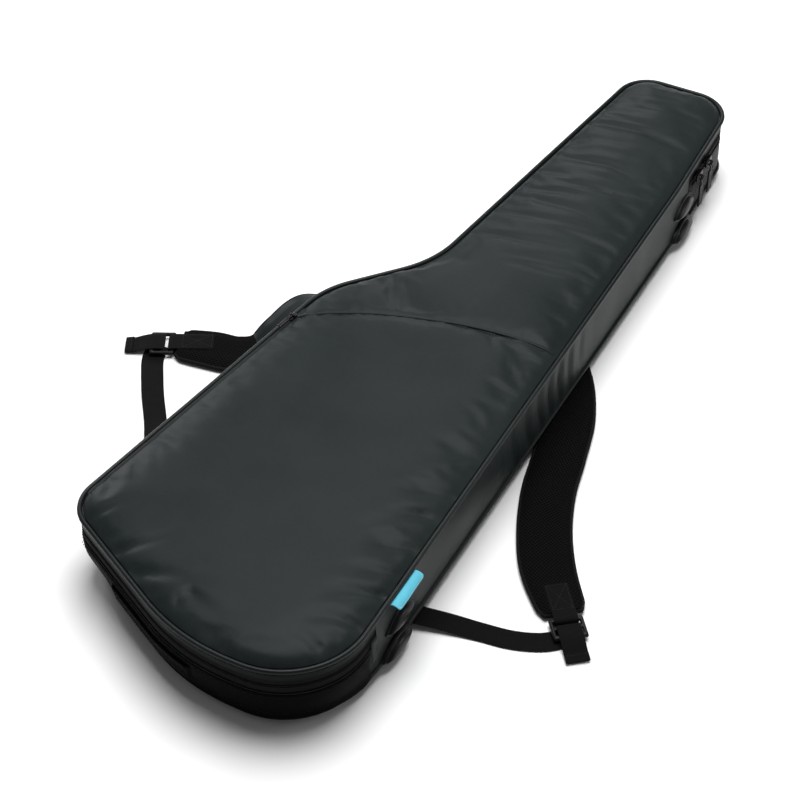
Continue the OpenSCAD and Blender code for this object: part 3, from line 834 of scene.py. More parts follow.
def seam_rope(name, out, r, lift, material, **where):
    """A rounded fold along the pocket's seam."""
    c = on_front(seam_arc(out, 4, 3), lift)
    side = units(np.cross(units(np.gradient(c, axis=0)), (0, 0, 1.0)))
    t = np.linspace(0, 2 * math.pi, 10, endpoint=False)
    rings = (c[:, None] + side[:, None] * (r * np.cos(t))[None, :, None]
             + np.array([0, 0, 1.0]) * (r * 0.55 * np.sin(t))[None, :, None])
    return tube(name, rings, material, **where)


seam_rope("pocket_hem", -1.6, 1.9, 1.0, M_SHELL, **on("lid", "shell_fabric"))
seam_rope("pocket_seam_cord", 0.9, 0.9, -0.1, M_PIPE, **on("lid", "piping"))
stitches("pocket_top_stitch", on_front(seam_arc(-5.6, 3, 6), 0.75), (0, 0, 1), M_THREAD, **on("lid", "piping"))

# ---------------------------------------------------------------- walls
WAIST_Y, WAIST_HALF, WAIST_FOLD = -25, 95, 29


def wall_wave(s, z):
    """How far the spine wall's slack cloth stands in or out, in loose folds at the waist."""
    y = CORNERS[0, 1] + CORNERS[0, 2] + (TOTAL - s)
    mid = (z - BACK_Z) / (FRONT_Z - BACK_Z)
    fade = np.sin(np.clip(mid, 0, 1) * math.pi) ** 0.8
    waist = np.exp(-((y - WAIST_Y) / WAIST_HALF) ** 4)
    phase = 2 * math.pi * (y + 10 * np.sin(mid * 2.6) + 6 * np.sin(y / 31)) / WAIST_FOLD
    fold = (1.8 * np.sin(phase) + 0.75 * np.sin(2 * phase + 1)) * waist
    slow = 0.45 * np.sin(y / 37 + 2 * mid) * np.sin(y / 23 - mid)
    return (fold + slow) * fade


ZIPPED = spaced(spine_s(ZONE_LOW) - TOTAL, spine_s(ZONE_HIGH), 4)
SPINE = spaced(spine_s(ZONE_HIGH), spine_s(ZONE_LOW), 3.5)
TUCK_TAIL, TUCK_CORNER = 8.0, 6.0


def tuck(s):
    """How far the wall tucks in at its back edge: at the tail, and most under the left corner."""
    s = np.mod(s + TOTAL / 2, TOTAL) - TOTAL / 2
    return TUCK_TAIL * window(s, 40, S_LEFT_CORNER + 40, 70) + TUCK_CORNER * np.exp(-((s - S_LEFT_CORNER) / 50) ** 2)


def tucked(s, z):
    """How far the wall stands in at height z: nothing at 52 mm and all of the tuck at the back seam."""
    return tuck(s) * np.clip((52 - z) / 38, 0, 1) ** 1.6


def wall_profile(s, z0, z1, thick, bulge, count, wave=None, lip_low=0.0, lip_high=0.0):
    """Closed wall section for each s: outside going up, inside coming down."""
    z = np.linspace(z0, z1, count)
    prof = np.empty((len(s), 2 * count, 2))
    mid = (z - z0) / (z1 - z0)
    for k, sk in enumerate(s):
        out = bulge * np.sin(mid * math.pi) + lip_low * np.exp(-(z - z0) / 1.2) + lip_high * np.exp(-(z1 - z) / 1.2)
        out = out - tucked(sk, z)
        if wave is not None:
            out = out + wave(sk, z)
        prof[k, :count, 0], prof[k, :count, 1] = out, z
        prof[k, count:, 0], prof[k, count:, 1] = out[::-1] - thick, z[::-1]
    return prof


def small_wave(seed, size):
    r = np.random.default_rng(seed)
    terms = [(2 * math.pi / r.uniform(35, 120), r.uniform(0, 6), r.uniform(-0.05, 0.05)) for _ in range(7)]
    return lambda s, z: size * sum(np.sin(k * s + p + z * q) for k, p, q in terms) / 2.6


def zipped_wall(name, z0, z1, bulge, count, wave, node_name, body, **lips):
    def held(s, z):
        return wave(s, z) * np.sin(np.clip((z - z0) / (z1 - z0), 0, 1) * math.pi)
    # The zipped walls take the darkened copy of the shell nylon, as painted shade.
    return sweep(name, ZIPPED, wall_profile(ZIPPED, z0, z1, SKIN, bulge, count, held, **lips), M_SHADED_GUSSET,
                 **on(body, "shell_fabric", node_name))


zipped_wall("wall_base", BACK_Z + 1.5, ZIP_Z - 9.5, 1.0, 14, small_wave(11, 0.5), "base_gusset", "base", lip_high=0.5)
zipped_wall("wall_lid", ZIP_Z + 9.5, FRONT_Z - 1.5, 0.5, 7, small_wave(12, 0.2), "lid_gusset", "lid", lip_low=0.5)
spine = sweep("wall_spine", SPINE, wall_profile(SPINE, BACK_Z + 1.5, FRONT_Z - 1.5, SKIN, 0.8, 26, wall_wave),
              M_SHELL, slot="shell_fabric")
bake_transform(spine)

ROUND = spaced(0, TOTAL, 3.2)[:-1]
piping = circle(0.5, FRONT_Z + 0.9, 2.7, count=12)
sweep("piping_front", ROUND, piping, M_PIPE, wrap=True, **on("lid", "piping", "lid_piping"))
back_profile = np.array([circle(0.4 - tuck(s), BACK_Z - 0.6, 2.6, count=12) for s in ROUND])
sweep("piping_back", ROUND, back_profile, M_PIPE, wrap=True, **on("base", "piping", "base_piping"))


def wall_line(s, z, out):
    p, n = rim(s, out)
    return np.column_stack([p, np.full(len(p), z)]), np.column_stack([n, np.zeros(len(n))])


for name, s, z, body in (("stitch_under_piping", ZIPPED, FRONT_Z - 4.2, "lid"),
                         ("stitch_base_zip", ZIPPED, ZIP_Z - 12, "base")):
    path, normal = wall_line(s, z, 0.95 if body == "lid" else 0.75)
    stitches(name, path, normal, M_THREAD, pitch=3.8, **on(body, "piping"))

# ---------------------------------------------------------------- main zip
GAP = 0.35


def tape_section(z0, z1, out=-0.7, thick=0.9):
    return round_rect(out - thick, out, z0, z1, 0.3, steps=2)


sweep("zip_tape_low", ZIPPED, tape_section(ZIP_Z - TAPE_W, ZIP_Z - GAP), M_TAPE, **on("base", "zip", "base_zip_tape"))
sweep("zip_tape_high", ZIPPED, tape_section(ZIP_Z + GAP, ZIP_Z + TAPE_W), M_TAPE, **on("lid", "zip", "lid_zip_tape"))


def coil(name, run, pitch, out, z, rx, ry, thin, first, **where):
    """Moulded coil teeth along run, every second one thinner."""
    s = np.arange(run[0], run[-1], pitch)
    swell = np.where((np.arange(len(s)) + first) % 2, 1.0, thin)
    sweep(name, s, np.array([circle(out, z, rx * w, ry * w, 6) for w in swell]), M_COIL, angle=0, **where)


for name, z, first, body in (("zip_coil_low", ZIP_Z - 1.5, 0, "base"), ("zip_coil_high", ZIP_Z + 1.5, 1, "lid")):
    coil(name, ZIPPED, 1.5, -1.9, z, 1.15, 1.05, 0.55, first, **on(body, "zip"))
for name, z, body in (("zip_lip_low", ZIP_Z - 1.1, "base"), ("zip_lip_high", ZIP_Z + 1.1, "lid")):
    sweep(name, ZIPPED, circle(-0.35, z, 0.55, 0.75, 8), M_TAPE, **on(body, "zip"))


def folded_tab(name, y, length, z0, z1, lift, node_name):
    """A fabric tab folded over the end of the zip, with its stitched edge."""
    (u, v), tall = grid(13, 17), z1 - z0
    edge = np.minimum(np.minimum(u, 1 - u) * length, np.minimum(v, 1 - v) * tall)
    high = lift + 1.0 * smooth01(edge / 1.2) + 0.25 * np.sin(v * 9) * smooth01(edge / 3)
    place_m = matrix_of(on_spine(y, z0, 0.0))
    top, low = (place_m(np.stack([u * length, v * tall, h], -1)).reshape(*u.shape, 3)
                for h in (high, np.full_like(u, 0.1)))
    slab(name, top, low, M_SHELL, **on("base", "shell_fabric", node_name))
    line = rectangle(1.8, length - 1.8, 1.8, tall - 1.8, lift + 0.95)
    stitches(name + "_stitch", place_m(line), out_of_spine(y), M_THREAD, pitch=2.9, length=1.9,
             **on("base", "piping"))


folded_tab("stop_head", 380.5, 4.5, ZIP_Z - TAPE_W - 1, ZIP_Z - 0.4, 0.6, "zip_stop_head")
folded_tab("stop_tail", -427, 12, BACK_Z + 18, ZIP_Z - 0.4, 0.8, "zip_stop_tail")

# ---------------------------------------------------------------- tail guard and grip
GUARD_Y = -428.0
S_GUARD_B = crossing(lambda p: (p[:, 0] < -100) & (p[:, 1] > GUARD_Y), 200, 900)
guard_s = spaced(spine_s(GUARD_Y) - TOTAL, S_GUARD_B, 3.5)
GUARD_Z = np.array([8.2, 9.2, 10.8, 12.8, 14.8, 16.8, 19, 23, 28, 33, 38, 43, 48, 51.5, 53.0, 53.6])
GUARD_OUT = np.array([-2.5, 0.6, 2.6, 3.5, 3.4, 2.6, 1.9, 1.7, 1.8, 1.9, 1.9, 1.8, 1.6, 1.4, 1.3, 0.9])
guard = []
for k, sk in enumerate(guard_s):
    ends = min(k, len(guard_s) - 1 - k)
    shift = -tucked(sk, GUARD_Z)
    out = GUARD_OUT * (0.55 + 0.45 * min(1, ends / 2)) + shift + 0.12 * np.sin(sk / 17 + GUARD_Z / 9)
    guard.append(np.vstack([pairs(out, GUARD_Z), pairs(out - 1.3, GUARD_Z)[::-1]]))
guard = np.array(guard)
sweep("guard_wrap", guard_s, guard, M_GUARD, **on("base", "guard", "bottom_guard"))
for name, z in (("guard_stitch_high", ZIP_Z - TAPE_W - 4), ("guard_stitch_low", BACK_Z + 7)):
    path, normal = wall_line(guard_s, z, 1.95 - tucked(guard_s, z))
    stitches(name, path, normal, M_BLACK_THREAD, pitch=4.0, **on("base", "guard"))

GRIP_X0, GRIP_X1 = -109.0, 18.0
S_GRIP_A = crossing(lambda p: (p[:, 0] < GRIP_X1) & (p[:, 1] < 0), 0, 900)
S_GRIP_B = crossing(lambda p: (p[:, 0] < GRIP_X0) & (p[:, 1] < 0), 0, 900)
grip_s = spaced(S_GRIP_A, S_GRIP_B, 2.5)
grip = []
for s in grip_s:
    end = min(s - S_GRIP_A, S_GRIP_B - s)
    full = float(smooth01(end / 5))
    z = np.array([24, 24.4, 25.5, 28, 29.5, 31.5, 39.5, 41.5, 43, 45.5, 46.6, 47.0])
    high = np.array([1.2, 2.8, 4.0, 4.1, 3.9, 3.2, 3.2, 3.9, 4.1, 4.0, 2.8, 1.2])
    if end > 6:
        high = high + 0.25 * math.sin(s / 9) * (np.abs(z - 35.5) < 6)
    else:
        high = np.where(np.abs(z - 35.5) < 6, 3.9, high)
    shift = -tucked(s, z)
    outside = np.stack([1.0 + (high - 1.0) * full + shift + 0.6, z], -1)
    inside = np.stack([shift[::-1] + 1.0, z[::-1]], -1)
    grip.append(np.vstack([outside, inside]))
sweep("grip_pad", grip_s, np.array(grip), M_GUARD, **on("base", "webbing", "bottom_grip"))
for z in (27, 44):
    s = grip_s[2:-2]
    path, normal = wall_line(s, z, 4.8 - tucked(s, z))
    stitches(f"grip_stitch_{z}", path, normal, M_BLACK_THREAD, **on("base", "webbing"))

# ---------------------------------------------------------------- bumper feet
FOOT_L, FOOT_W, FOOT_H = 60.0, 26.0, 8.5


def foot(name, y, z, out, node_name, lift=0.0):
    """A leaf-shaped foot: a flange with a sewn groove, a step and a long dome."""
    big_r = (FOOT_L**2 / 4 + FOOT_W**2 / 4) / FOOT_W
    u, v = grid(49, 27, -1.0)
    u = np.sin(u * math.pi / 2)
    x = u * FOOT_L / 2
    half = np.sqrt(np.maximum(big_r**2 - x**2, 0)) - (big_r - FOOT_W / 2)
    half = np.maximum(half, 0.02)
    v = np.sin(v * math.pi / 2)
    edge = half * (1 - np.abs(v)) * 0.95
    high = 2.2 * smooth01(edge / 1.1) ** 0.7
    high -= 0.55 * np.exp(-((edge - 2.6) / 0.5) ** 2)
    inner = np.clip((edge - 3.3) / (FOOT_W / 2 - 3.3), 0, 1)
    high += (FOOT_H - 2.2) * np.sqrt(1 - (1 - inner) ** 2) * (1 - 0.25 * u**2)
    place_m = matrix_of(on_spine(y, z, out))
    top, low = (place_m(np.stack([x, v * half, h], -1)).reshape(*x.shape, 3)
                for h in (high + 0.1, np.full_like(x, -lift)))
    slab(name, top, low, M_FOOT, angle=60, **on("base", "foot_leather", node_name))
    t = np.linspace(-0.9, 0.9, 40)
    x = t * FOOT_L / 2
    half = np.sqrt(big_r**2 - x**2) - (big_r - FOOT_W / 2) - 2.6
    for sign, side in ((1, "a"), (-1, "b")):
        keep = half > 0.4
        path = np.stack([x, sign * half, np.full_like(x, 2.0)], -1)[keep]
        stitches(f"{name}_stitch_{side}", place_m(path), out_of_spine(y), M_BLACK_THREAD,
                 pitch=3.0, length=2.0, **on("base", "foot_leather"))


foot("foot_a_high", 362, 46, 0.4, "foot_head_upper", 1.5)
foot("foot_a_low", 359, 15, 2.8, "foot_head_lower", 2.5)
foot("foot_b_high", -369, 46, 0.4, "foot_tail_upper", 1.5)
foot("foot_b_low", -378, 15, 2.8, "foot_tail_lower", 2.5)

# ---------------------------------------------------------------- label
# A folded loop label sewn into the piping's seam, standing out over the spine's shoulder
LABEL_LONG, LABEL_CORNER = 52.0, 3.5
label_path = catmull([[0.6, 83.2], [4, 84.6], [8, 84.2], [11.2, 82.6], [12.8, 80.2]], np.linspace(0, 4, 17))
label_run = run_length(label_path)
label_way = units(np.gradient(label_path, axis=0))
to_label = matrix_of(on_spine(-390, 0, 0))


def label_at(along, run, lift):
    """Points on the label: along the bag, outward along its cloth, and off its face."""
    along, run = np.broadcast_arrays(np.asarray(along, float), np.asarray(run, float))
    out, z, way_out, way_z = (np.interp(run, label_run, a) for a in (*label_path.T, *label_way.T))
    lift = lift + 0.3 * np.sin(along / 9) * run / label_run[-1]
    pts = np.stack([along, z + way_out * lift, out - way_z * lift], -1)
    return to_label(pts).reshape(pts.shape)


near_edge = np.clip((label_run - label_run[-1] + LABEL_CORNER) / LABEL_CORNER, 0, 1)
inset = LABEL_CORNER * (1 - np.sqrt(1 - near_edge**2))
along = inset + np.linspace(0, 1, 31)[:, None] * (LABEL_LONG - 2 * inset)
run = np.broadcast_to(label_run, along.shape)
slab("label_patch", label_at(along, run, 0.6), label_at(along, run, -0.6), M_LABEL, **on("lid", "label", "label_tab"))
border = np.array([[1.6, 2], [1.6, 11], [3.4, 13], [48.6, 13], [50.4, 11], [50.4, 2]])
stitches("label_border", label_at(border[:, 0], border[:, 1], 0.75), (0, 0, 1), M_LABEL_EDGE, pitch=1.6, length=1.3,
         width=0.4, **on("lid", "label"))

# ---------------------------------------------------------------- sliders and pulls
PIN_Y, PIN_Z, PULL_L = -1.0, 8.8, 40.0


def zip_slider(name, y):
    parts = [block((18, 10, 1.8), (0, 0, 5.4), 0.8), block((17, 9, 1.6), (0, 0, 2.4), 0.7),
             block((7, 5, 4), (-3.5, 0, 3.9), 1.0), block((15, 1.3, 2.6), (0, -4.1, 4.0), 0.5),
             block((15, 1.3, 2.6), (0, 4.1, 4.0), 0.5)]
    for x in (-4.1, 4.1):
        parts.append(block((1.3, 2.9, 4.2), (x, PIN_Y, 7.8), 0.5))
    parts.append(rod(1.0, 9.0, (0, PIN_Y, PIN_Z), "X"))
    mould(name + "_body", parts, on_spine(y, ZIP_Z), M_METAL, 0.4, 2, **on(name, "slider_metal", name))


def zip_pull(name, y):
    """An eye, a waist and a framed tab with a ridged grip."""
    t = PIN_Z
    parts = []
    for k in range(14):
        a = 2 * math.pi * k / 14
        parts.append(block((5.6, 0.95, 0.75), (0, PIN_Y + 1.7 * math.cos(a), t + 1.7 * math.sin(a)), 0.2,
                           (a + math.pi / 2, 4, "X")))
    mid = PIN_Y - 24.5
    parts += [block((5.6, 8.5, 1.6), (0, PIN_Y - 5.6, t), 0.5),
              block((14, 2.4, 2.4), (0, PIN_Y - 10, t), 0.8), block((14, 2.8, 2.4), (0, PIN_Y - PULL_L + 1.4, t), 0.9),
              block((2.4, 31, 2.3), (5.8, mid, t), 0.8), block((2.4, 31, 2.3), (-5.8, mid, t), 0.8),
              block((12, 30, 1.0), (0, mid, t), 0.2)]
    for k in range(8):
        parts.append(block((8.8, 1.1, 1.7), (0, PIN_Y - 17 - 2.6 * k, t), 0.4))
    mould(name + "_tab", parts, on_spine(y, ZIP_Z), M_RUBBER, 0.38, 1, **on(name, "pull_rubber", name))


for k, y in ((1, 403), (2, 434)):
    zip_slider(f"slider_{k}", y)
    zip_pull(f"pull_{k}", y)

# ---------------------------------------------------------------- pocket zip
pocket_zip_s = spaced(S_ZIP_A - 8, S_ZIP_B + 8, 3)
for name, low, high, replaced in (("pocket_zip_outer", -5.7, -3.2, ("pocket_zip",)),
                                  ("pocket_zip_inner", -10.6, -6.3, ())):
    rings = []
    for k in pocket_zip_s:
        sec = round_rect(low, high, 0, 1.0, 0.35, steps=2)
        p, n = rim(np.full(len(sec), k), sec[:, 0])
        rings.append(np.column_stack([p, front_height(rim([k, k], [low, high])[0]).mean() + 0.1 + sec[:, 1]]))
    tube(name, np.array(rings), M_ZIP_CLOTH, **on("lid", "zip", *replaced))
coil("pocket_zip_coil", pocket_zip_s, 1.1, -6.0, FRONT_Z + 3.6, 1.1, 0.8, 0.7, 0, **on("lid", "zip"))
EDGE_TURN, POCKET_Z, POCKET_PIN = 80.43, FRONT_Z + 6.7, 4.6
pocket_place = Matrix.Translation((-118.8, -70, POCKET_Z)) @ Matrix.Rotation(math.radians(EDGE_TURN), 4, "Z")
parts = [block((12, 6, 1.3), (0, 0, 2.3), 0.5), block((11, 5.4, 1.1), (0, 0, 0.6), 0.4),
         block((4, 3, 2.4), (3, 0, 1.4), 0.5), rod(0.7, 6.4, (0, 0, POCKET_PIN), "Y")]
for y in (-2.4, 2.4):
    parts.append(block((3.0, 1.1, 3.2), (0, y, 4.2), 0.4))
mould("pocket_slider_body", parts, pocket_place, M_METAL, 0.3, 2,
      **on("pocket_slider", "slider_metal", "pocket_slider"))
parts = [block((0.6, 2.8, 0.9), (1.25 * math.cos(a), 0, POCKET_PIN + 1.25 * math.sin(a)), 0.15, (-a, 4, "Y"))
         for a in np.linspace(0, 2 * math.pi, 12, endpoint=False)]
parts += [block((7, 2.8, 1.0), (-5, 0, POCKET_PIN), 0.3), block((16, 5.2, 1.0), (-16, 0, POCKET_PIN), 0.45),
          block((13, 0.9, 1.7), (-16, 1.9, POCKET_PIN), 0.3), block((13, 0.9, 1.7), (-16, -1.9, POCKET_PIN), 0.3)]
mould("pocket_pull_tab", parts, pocket_place, M_METAL, 0.3, 1, **on("pocket_pull", "slider_metal", "pocket_pull"))

# ---------------------------------------------------------------- straps
PAD_T, COVER_T = 8.0, 3.2
# Points as x, y, z and width, along each pad and its lower webbing. fold is the place where the loop folds and the
# direction that it leaves in; lock is the ladder lock's place and turn; mesh_from is where the air mesh starts
STRAPS = {
    "right": {
        "pad": [[40, 158, 1, 58], [96, 124, 1, 58], [146, 74, 1, 58], [178, 14, 1, 58], [195, -48, 1, 58],
                [208, -104, 1, 58], [228, -158, 1, 58], [255, -208, 1, 58], [294, -256, 1, 50]],
        "web": [[312, -278, .6, 25], [292, -297, .6, 25], [262, -309, .6, 25], [228, -314, .6, 25],
                [196, -320, 4, 25], [162, -328.5, 8, 25]],
        "fold": (172, 0, 0), "lock": (299, -262, -52), "mesh_from": 1.5},
    "left": {
        "pad": [[2, 160, 1, 58], [-48, 122, 1, 58], [-88, 78, 1, 58], [-120, 40, 14, 58], [-141, 9, 31, 58],
                [-156, -24, 21, 58], [-172, -50, 4, 58], [-197, -66, 1, 58], [-227, -72, 1, 58], [-260, -80, 1, 50]],
        "web": [[-284, -92, .6, 25], [-277, -114, .6, 25], [-263, -138, .6, 25], [-245, -166, .6, 25],
                [-221, -200, .6, 25], [-197, -238, 5, 25], [-166, -284, 9.8, 25]],
        "fold": (-196, -50, 177.9), "lock": (-266, -83, 206), "mesh_from": 6.0}}
TAIL = [[12, 0, 8.7, 25], [26, 0, 8.7, 25], [36, 0, 6.4, 25], [46, 0, 3, 25], [56, 0, 1.4, 25]]


def lock_matrix(lock):
    return Matrix.Translation((lock[0], lock[1], 0)) @ Matrix.Rotation(math.radians(lock[2]), 4, "Z")


def cover_section(w, s):
    x = np.linspace(-w / 2 + 0.4, w / 2 - 0.4, 15)
    under = 0.15 + 2.2 * (np.abs(x) / (w / 2)) ** 6
    return np.vstack([np.stack([x, under], -1), np.stack([x[::-1], np.full(15, COVER_T)], -1)])


def mesh_section(w, s):
    x = np.linspace(w / 2 - 0.6, -w / 2 + 0.6, 19)
    edge = np.abs(x) / (w / 2)
    high = PAD_T + 0.5 - 4.2 * edge**7 - 0.9 * np.exp(-((np.abs(x) - w / 2 + 6.5) / 1.2) ** 2)
    high = high + 0.18 * math.sin(s * 5.1) * (1 - edge**4)
    return np.vstack([np.stack([x[::-1], np.full(19, COVER_T - 0.1)], -1), np.stack([x, high], -1)])


def bound_edge(sign):
    def section(w, s):
        ring = circle(0, 0, 2.4, 2.5, 12)
        return np.stack([sign * (w / 2 - 1.9) + ring[:, 0], COVER_T + 0.6 + ring[:, 1]], -1)[::sign]
    return section


def web_section(w, s):
    x = np.linspace(-w / 2, w / 2, 9)
    lift = 0.16 * np.cos(x / w * 2 * math.pi * 3)
    thin = 0.5 * (np.abs(x) / (w / 2)) ** 8
    return np.vstack([np.stack([x, thin], -1), np.stack([x[::-1], 1.6 - thin[::-1] + lift[::-1] * 0.5], -1)])


def end_width(s, last):
    """Narrows a pad's end a little, as its corners are rounded."""
    return np.minimum(1.0, 0.86 + 0.14 * smooth01((last - s) / 0.18))


def lock_webbing(name, to_lock, centre, up, sections, **where):
    """Webbing by the lock: each section's width lies along the lock's Y, its height along up."""
    rings = [to_lock(c + np.array([0, 1, 0]) * sec[:, :1] + u * sec[:, 1:]) for c, u, sec in zip(centre, up, sections)]
    uvs = [pairs(np.full(len(sec), r), sec[:, 0]) for r, sec in zip(run_length(centre), sections)]
    return tube(name, rings, M_WEB, uvs=np.array(uvs) * MM, **where)


def threaded(name, to_lock, xz, count, width, scale=1.0, **where):
    """Webbing that follows (x, z) pairs in the lock's middle plane. A negative scale turns its face over."""
    fine = catmull(xz, np.linspace(0, len(xz) - 1, count))
    tangent, zero = units(np.gradient(fine, axis=0)), np.zeros(count)
    centre, up = (np.stack([a, zero, b], -1) for a, b in (fine.T, (-tangent[:, 1], tangent[:, 0])))
    sec = web_section(width, 0)
    sec = pairs(sec[:, 0], (sec[:, 1] - WEB_HALF_T) * scale)
    return lock_webbing(name, to_lock, centre, up, [sec] * count, **where)


WEB_HALF_T, HEM_START = 0.8, 3.05
TAB_XZ = ((-44, 9.7), (-30, 9.9), (-14, 9.9), (-2, 9.9), (3.5, 9.7), (6.3, 8.3), (7.0, 6.0), (6.6, 3.6), (4.2, 2.3),
          (0.5, 2.1), (-3, 2.2))
# From below the lock's last bar over its middle one
THREAD_XZ = ((30, 1.6), (24.5, 1.7), (20.5, 2.8), (18.8, 5.2), (17.8, 8.2), (15.5, 9.3), (12.5, 9.3))
CROSS_X0, CROSS_X1, CROSS_Y, CROSS_Z = -42.0, -9.0, 10.3, 10.75
FOLD_Z, FOLD_REACH = 10.5, 12.0

for side_name, data in STRAPS.items():
    strap, fold, pad = f"strap_{side_name}", data["fold"], data["pad"]
    reach = np.array([math.cos(math.radians(fold[2])), math.sin(math.radians(fold[2])), 0]) * FOLD_REACH
    steps, n_web = len(pad) - 1, len(data["web"]) - 1
    s = np.linspace(0, steps, steps * 14 + 1)

    def rounded(section, last=steps):
        return lambda w, k: section(w * float(end_width(k, last)), k)

    cover = band(f"{strap}_fabric", pad, s, rounded(cover_section), M_SHELL, slot="shell_fabric",
                 replaces=(f"{strap}_cover", f"{strap}_root"))
    mesh = band(f"{strap}_airmesh", pad, s[s >= data["mesh_from"]], rounded(mesh_section), M_MESH, slot="air_mesh",
                replaces=(f"{strap}_mesh",))
    root = band(f"{strap}_root_pad", pad, s[s <= data["mesh_from"]], rounded(mesh_section), M_SHELL,
                slot="shell_fabric")
    edges = [band(f"{strap}_edge_{k}", pad, s, rounded(bound_edge(sign)), M_TAPE, slot="webbing")
             for k, sign in ((1, 1), (2, -1))]
    web = band(f"{strap}_web", data["web"], np.linspace(0, n_web, n_web * 12 + 1), web_section, M_WEB,
               slot="webbing", replaces=(f"webbing_{side_name}", f"anchor_{side_name}"))
    for piece in (cover, mesh, root, *edges, web):
        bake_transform(piece)

    # Closing binding across the pad's end, webbing tab with its sewn cross, and the ladder lock
    lock_m = lock_matrix(data["lock"])
    to_lock = matrix_of(lock_m)
    c, _, side, top = frames(pad, np.array([steps - 0.004, float(steps)]))
    half_w = pad[-1][3] * 0.86 / 2 - 1
    ring = circle(0, 0, 2.4, 2.6, 12)
    along = unit(c[1, :3] - c[0, :3])
    rings = [c[1, :3] + side[1] * x + along * ring[:, :1] + top[1] * (COVER_T + 0.9 + ring[:, 1:])
             for x in np.linspace(-half_w, half_w, 25)]
    tube(f"{strap}_edge_end", rings, M_TAPE, **on(strap, "webbing"))
    threaded(f"{strap}_loop", to_lock, TAB_XZ, 81, 25, **on(strap, "webbing", f"{strap}_tab"))
    for name, line in (("a", [*rectangle(CROSS_X0, CROSS_X1, -CROSS_Y, CROSS_Y, CROSS_Z),
                              (CROSS_X1, CROSS_Y, CROSS_Z)]),
                       ("b", [(CROSS_X0, CROSS_Y, CROSS_Z), (CROSS_X1, -CROSS_Y, CROSS_Z)])):
        stitches(f"{strap}_cross_{name}", to_lock(line), (0, 0, 1), M_THREAD, pitch=2.6, length=1.9, width=0.6,
                 **on(strap, "webbing"))
    parts = [block((4.8, 34, 4.4), (2.6, 0, 5.9), 1.6), block((4.6, 34, 3.6), (13.5, 0, 6.2), 1.4),
             block((5.4, 35, 4.6), (25.2, 0, 6.2), 1.8), block((28, 4.2, 4.8), (14, 15.9, 5.9), 1.8),
             block((28, 4.2, 4.8), (14, -15.9, 5.9), 1.8)]
    parts += [block((1.2, 1.4, 0.9), (26.0, y, 8.5), 0.3) for y in np.linspace(-11, 11, 9)]
    mould(f"lock_{side_name}", parts, lock_m, M_BUCKLE, 0.5, 3, **on(strap, "buckle", f"buckle_{side_name}"))
    threaded(f"{strap}_thread", to_lock, THREAD_XZ, 49, 24.4, -0.9, **on(strap, "webbing"))

    # The free tail, with its end folded over and sewn
    tail, tail_s = f"tail_{side_name}", np.linspace(0, len(TAIL) - 1, 57)
    c, along, _, _ = frames(TAIL, tail_s)
    up = np.cross([0, -1, 0], along)
    sections = []
    for k in tail_s:
        sec = web_section(25, 0)
        sec[9:, 1] += 1.5 * float(smooth01((k - HEM_START) / 0.08))
        sections.append(sec)
    lock_webbing(f"{tail}_web", to_lock, c[:, :3], up, sections, **on(tail, "webbing", tail))
    sewn = int(np.searchsorted(tail_s, HEM_START + 0.2))
    line = [c[sewn, :3] + up[sewn] * 3.2 + (0, y, 0) for y in np.linspace(-11, 11, 12)]
    stitches(f"{tail}_stitch", to_lock(line), (0, 0, 1), M_THREAD, pitch=2.4, length=1.8, **on(tail, "webbing"))

# ---------------------------------------------------------------- back
def pad_lane(xy):
    """Nearness of points to the straps' routes under the bag: 1 in a lane, 0 outside it."""
    best = np.full(len(xy), 1e9)
    for data, last in ((STRAPS["right"]["pad"], 3.7), (STRAPS["left"]["pad"], 2.6)):
        line = catmull(data, np.linspace(0, last, 40))
        for p in line:
            best = np.minimum(best, np.hypot(xy[:, 0] - p[0], xy[:, 1] - p[1]))
    return 1 - smooth01((best - 31) / 12)


def back_height(xy):
    d = edge_distance(xy)
    z = 13.0 - 8.5 * (1 - np.exp(-np.clip(d - 10, 0, None) / 7)) - 4.2 * (1 - np.exp(-np.clip(d - 10, 0, None) / 26))
    z += 0.25 * slow_waves(xy, 8, 60, 160) * smooth01((d - 14) / 20)
    z = np.maximum(z, 0.25)
    lane = pad_lane(xy)
    return z * (1 - lane) + np.maximum(z, 10.2) * lane


back_ring = np.array([rim([s], -(3.0 + tuck(s)))[0][0] for s in ROUND])
back = shell("back_shell", back_ring, 6.5, back_height, 1.4, M_SHELL, looks_down=True,
             **on("base", "shell_fabric", "back_panel"))
YOKE_X, YOKE_Y, YOKE_W, YOKE_L = -10, 131, 84, 60
u, v = grid(41, 25)
edge = np.minimum(np.minimum(u, 1 - u) * YOKE_W, np.minimum(v, 1 - v) * YOKE_L)
low, top = (np.stack([YOKE_X + u * YOKE_W, YOKE_Y + v * YOKE_L, h], -1)
            for h in (0.75 - 0.55 * smooth01(edge / 2.5), np.full_like(u, 0.95)))
slab("yoke_patch", top, low, M_SHELL, **on("base", "shell_fabric", "strap_yoke"))
stitches("yoke_stitch", rectangle(YOKE_X + 4, YOKE_X + YOKE_W - 4, YOKE_Y + 4, YOKE_Y + YOKE_L - 4, 0.2), (0, 0, -1),
         M_THREAD, **on("base", "shell_fabric"), width=0.4)

# ---------------------------------------------------------------- inside
def pad_section(z0, z1, r_top, r_low):
    """Closed section of a padded wall; each end is rounded by its own radius."""
    pts = round_rect(-LINED, -1.9, z0, z1, r_top, r_low, 5)
    inner = (pts[:, 0] < -8) & (pts[:, 1] > z0 + 3) & (pts[:, 1] < z1 - 3)
    pts[inner, 0] -= 0.6
    return pts


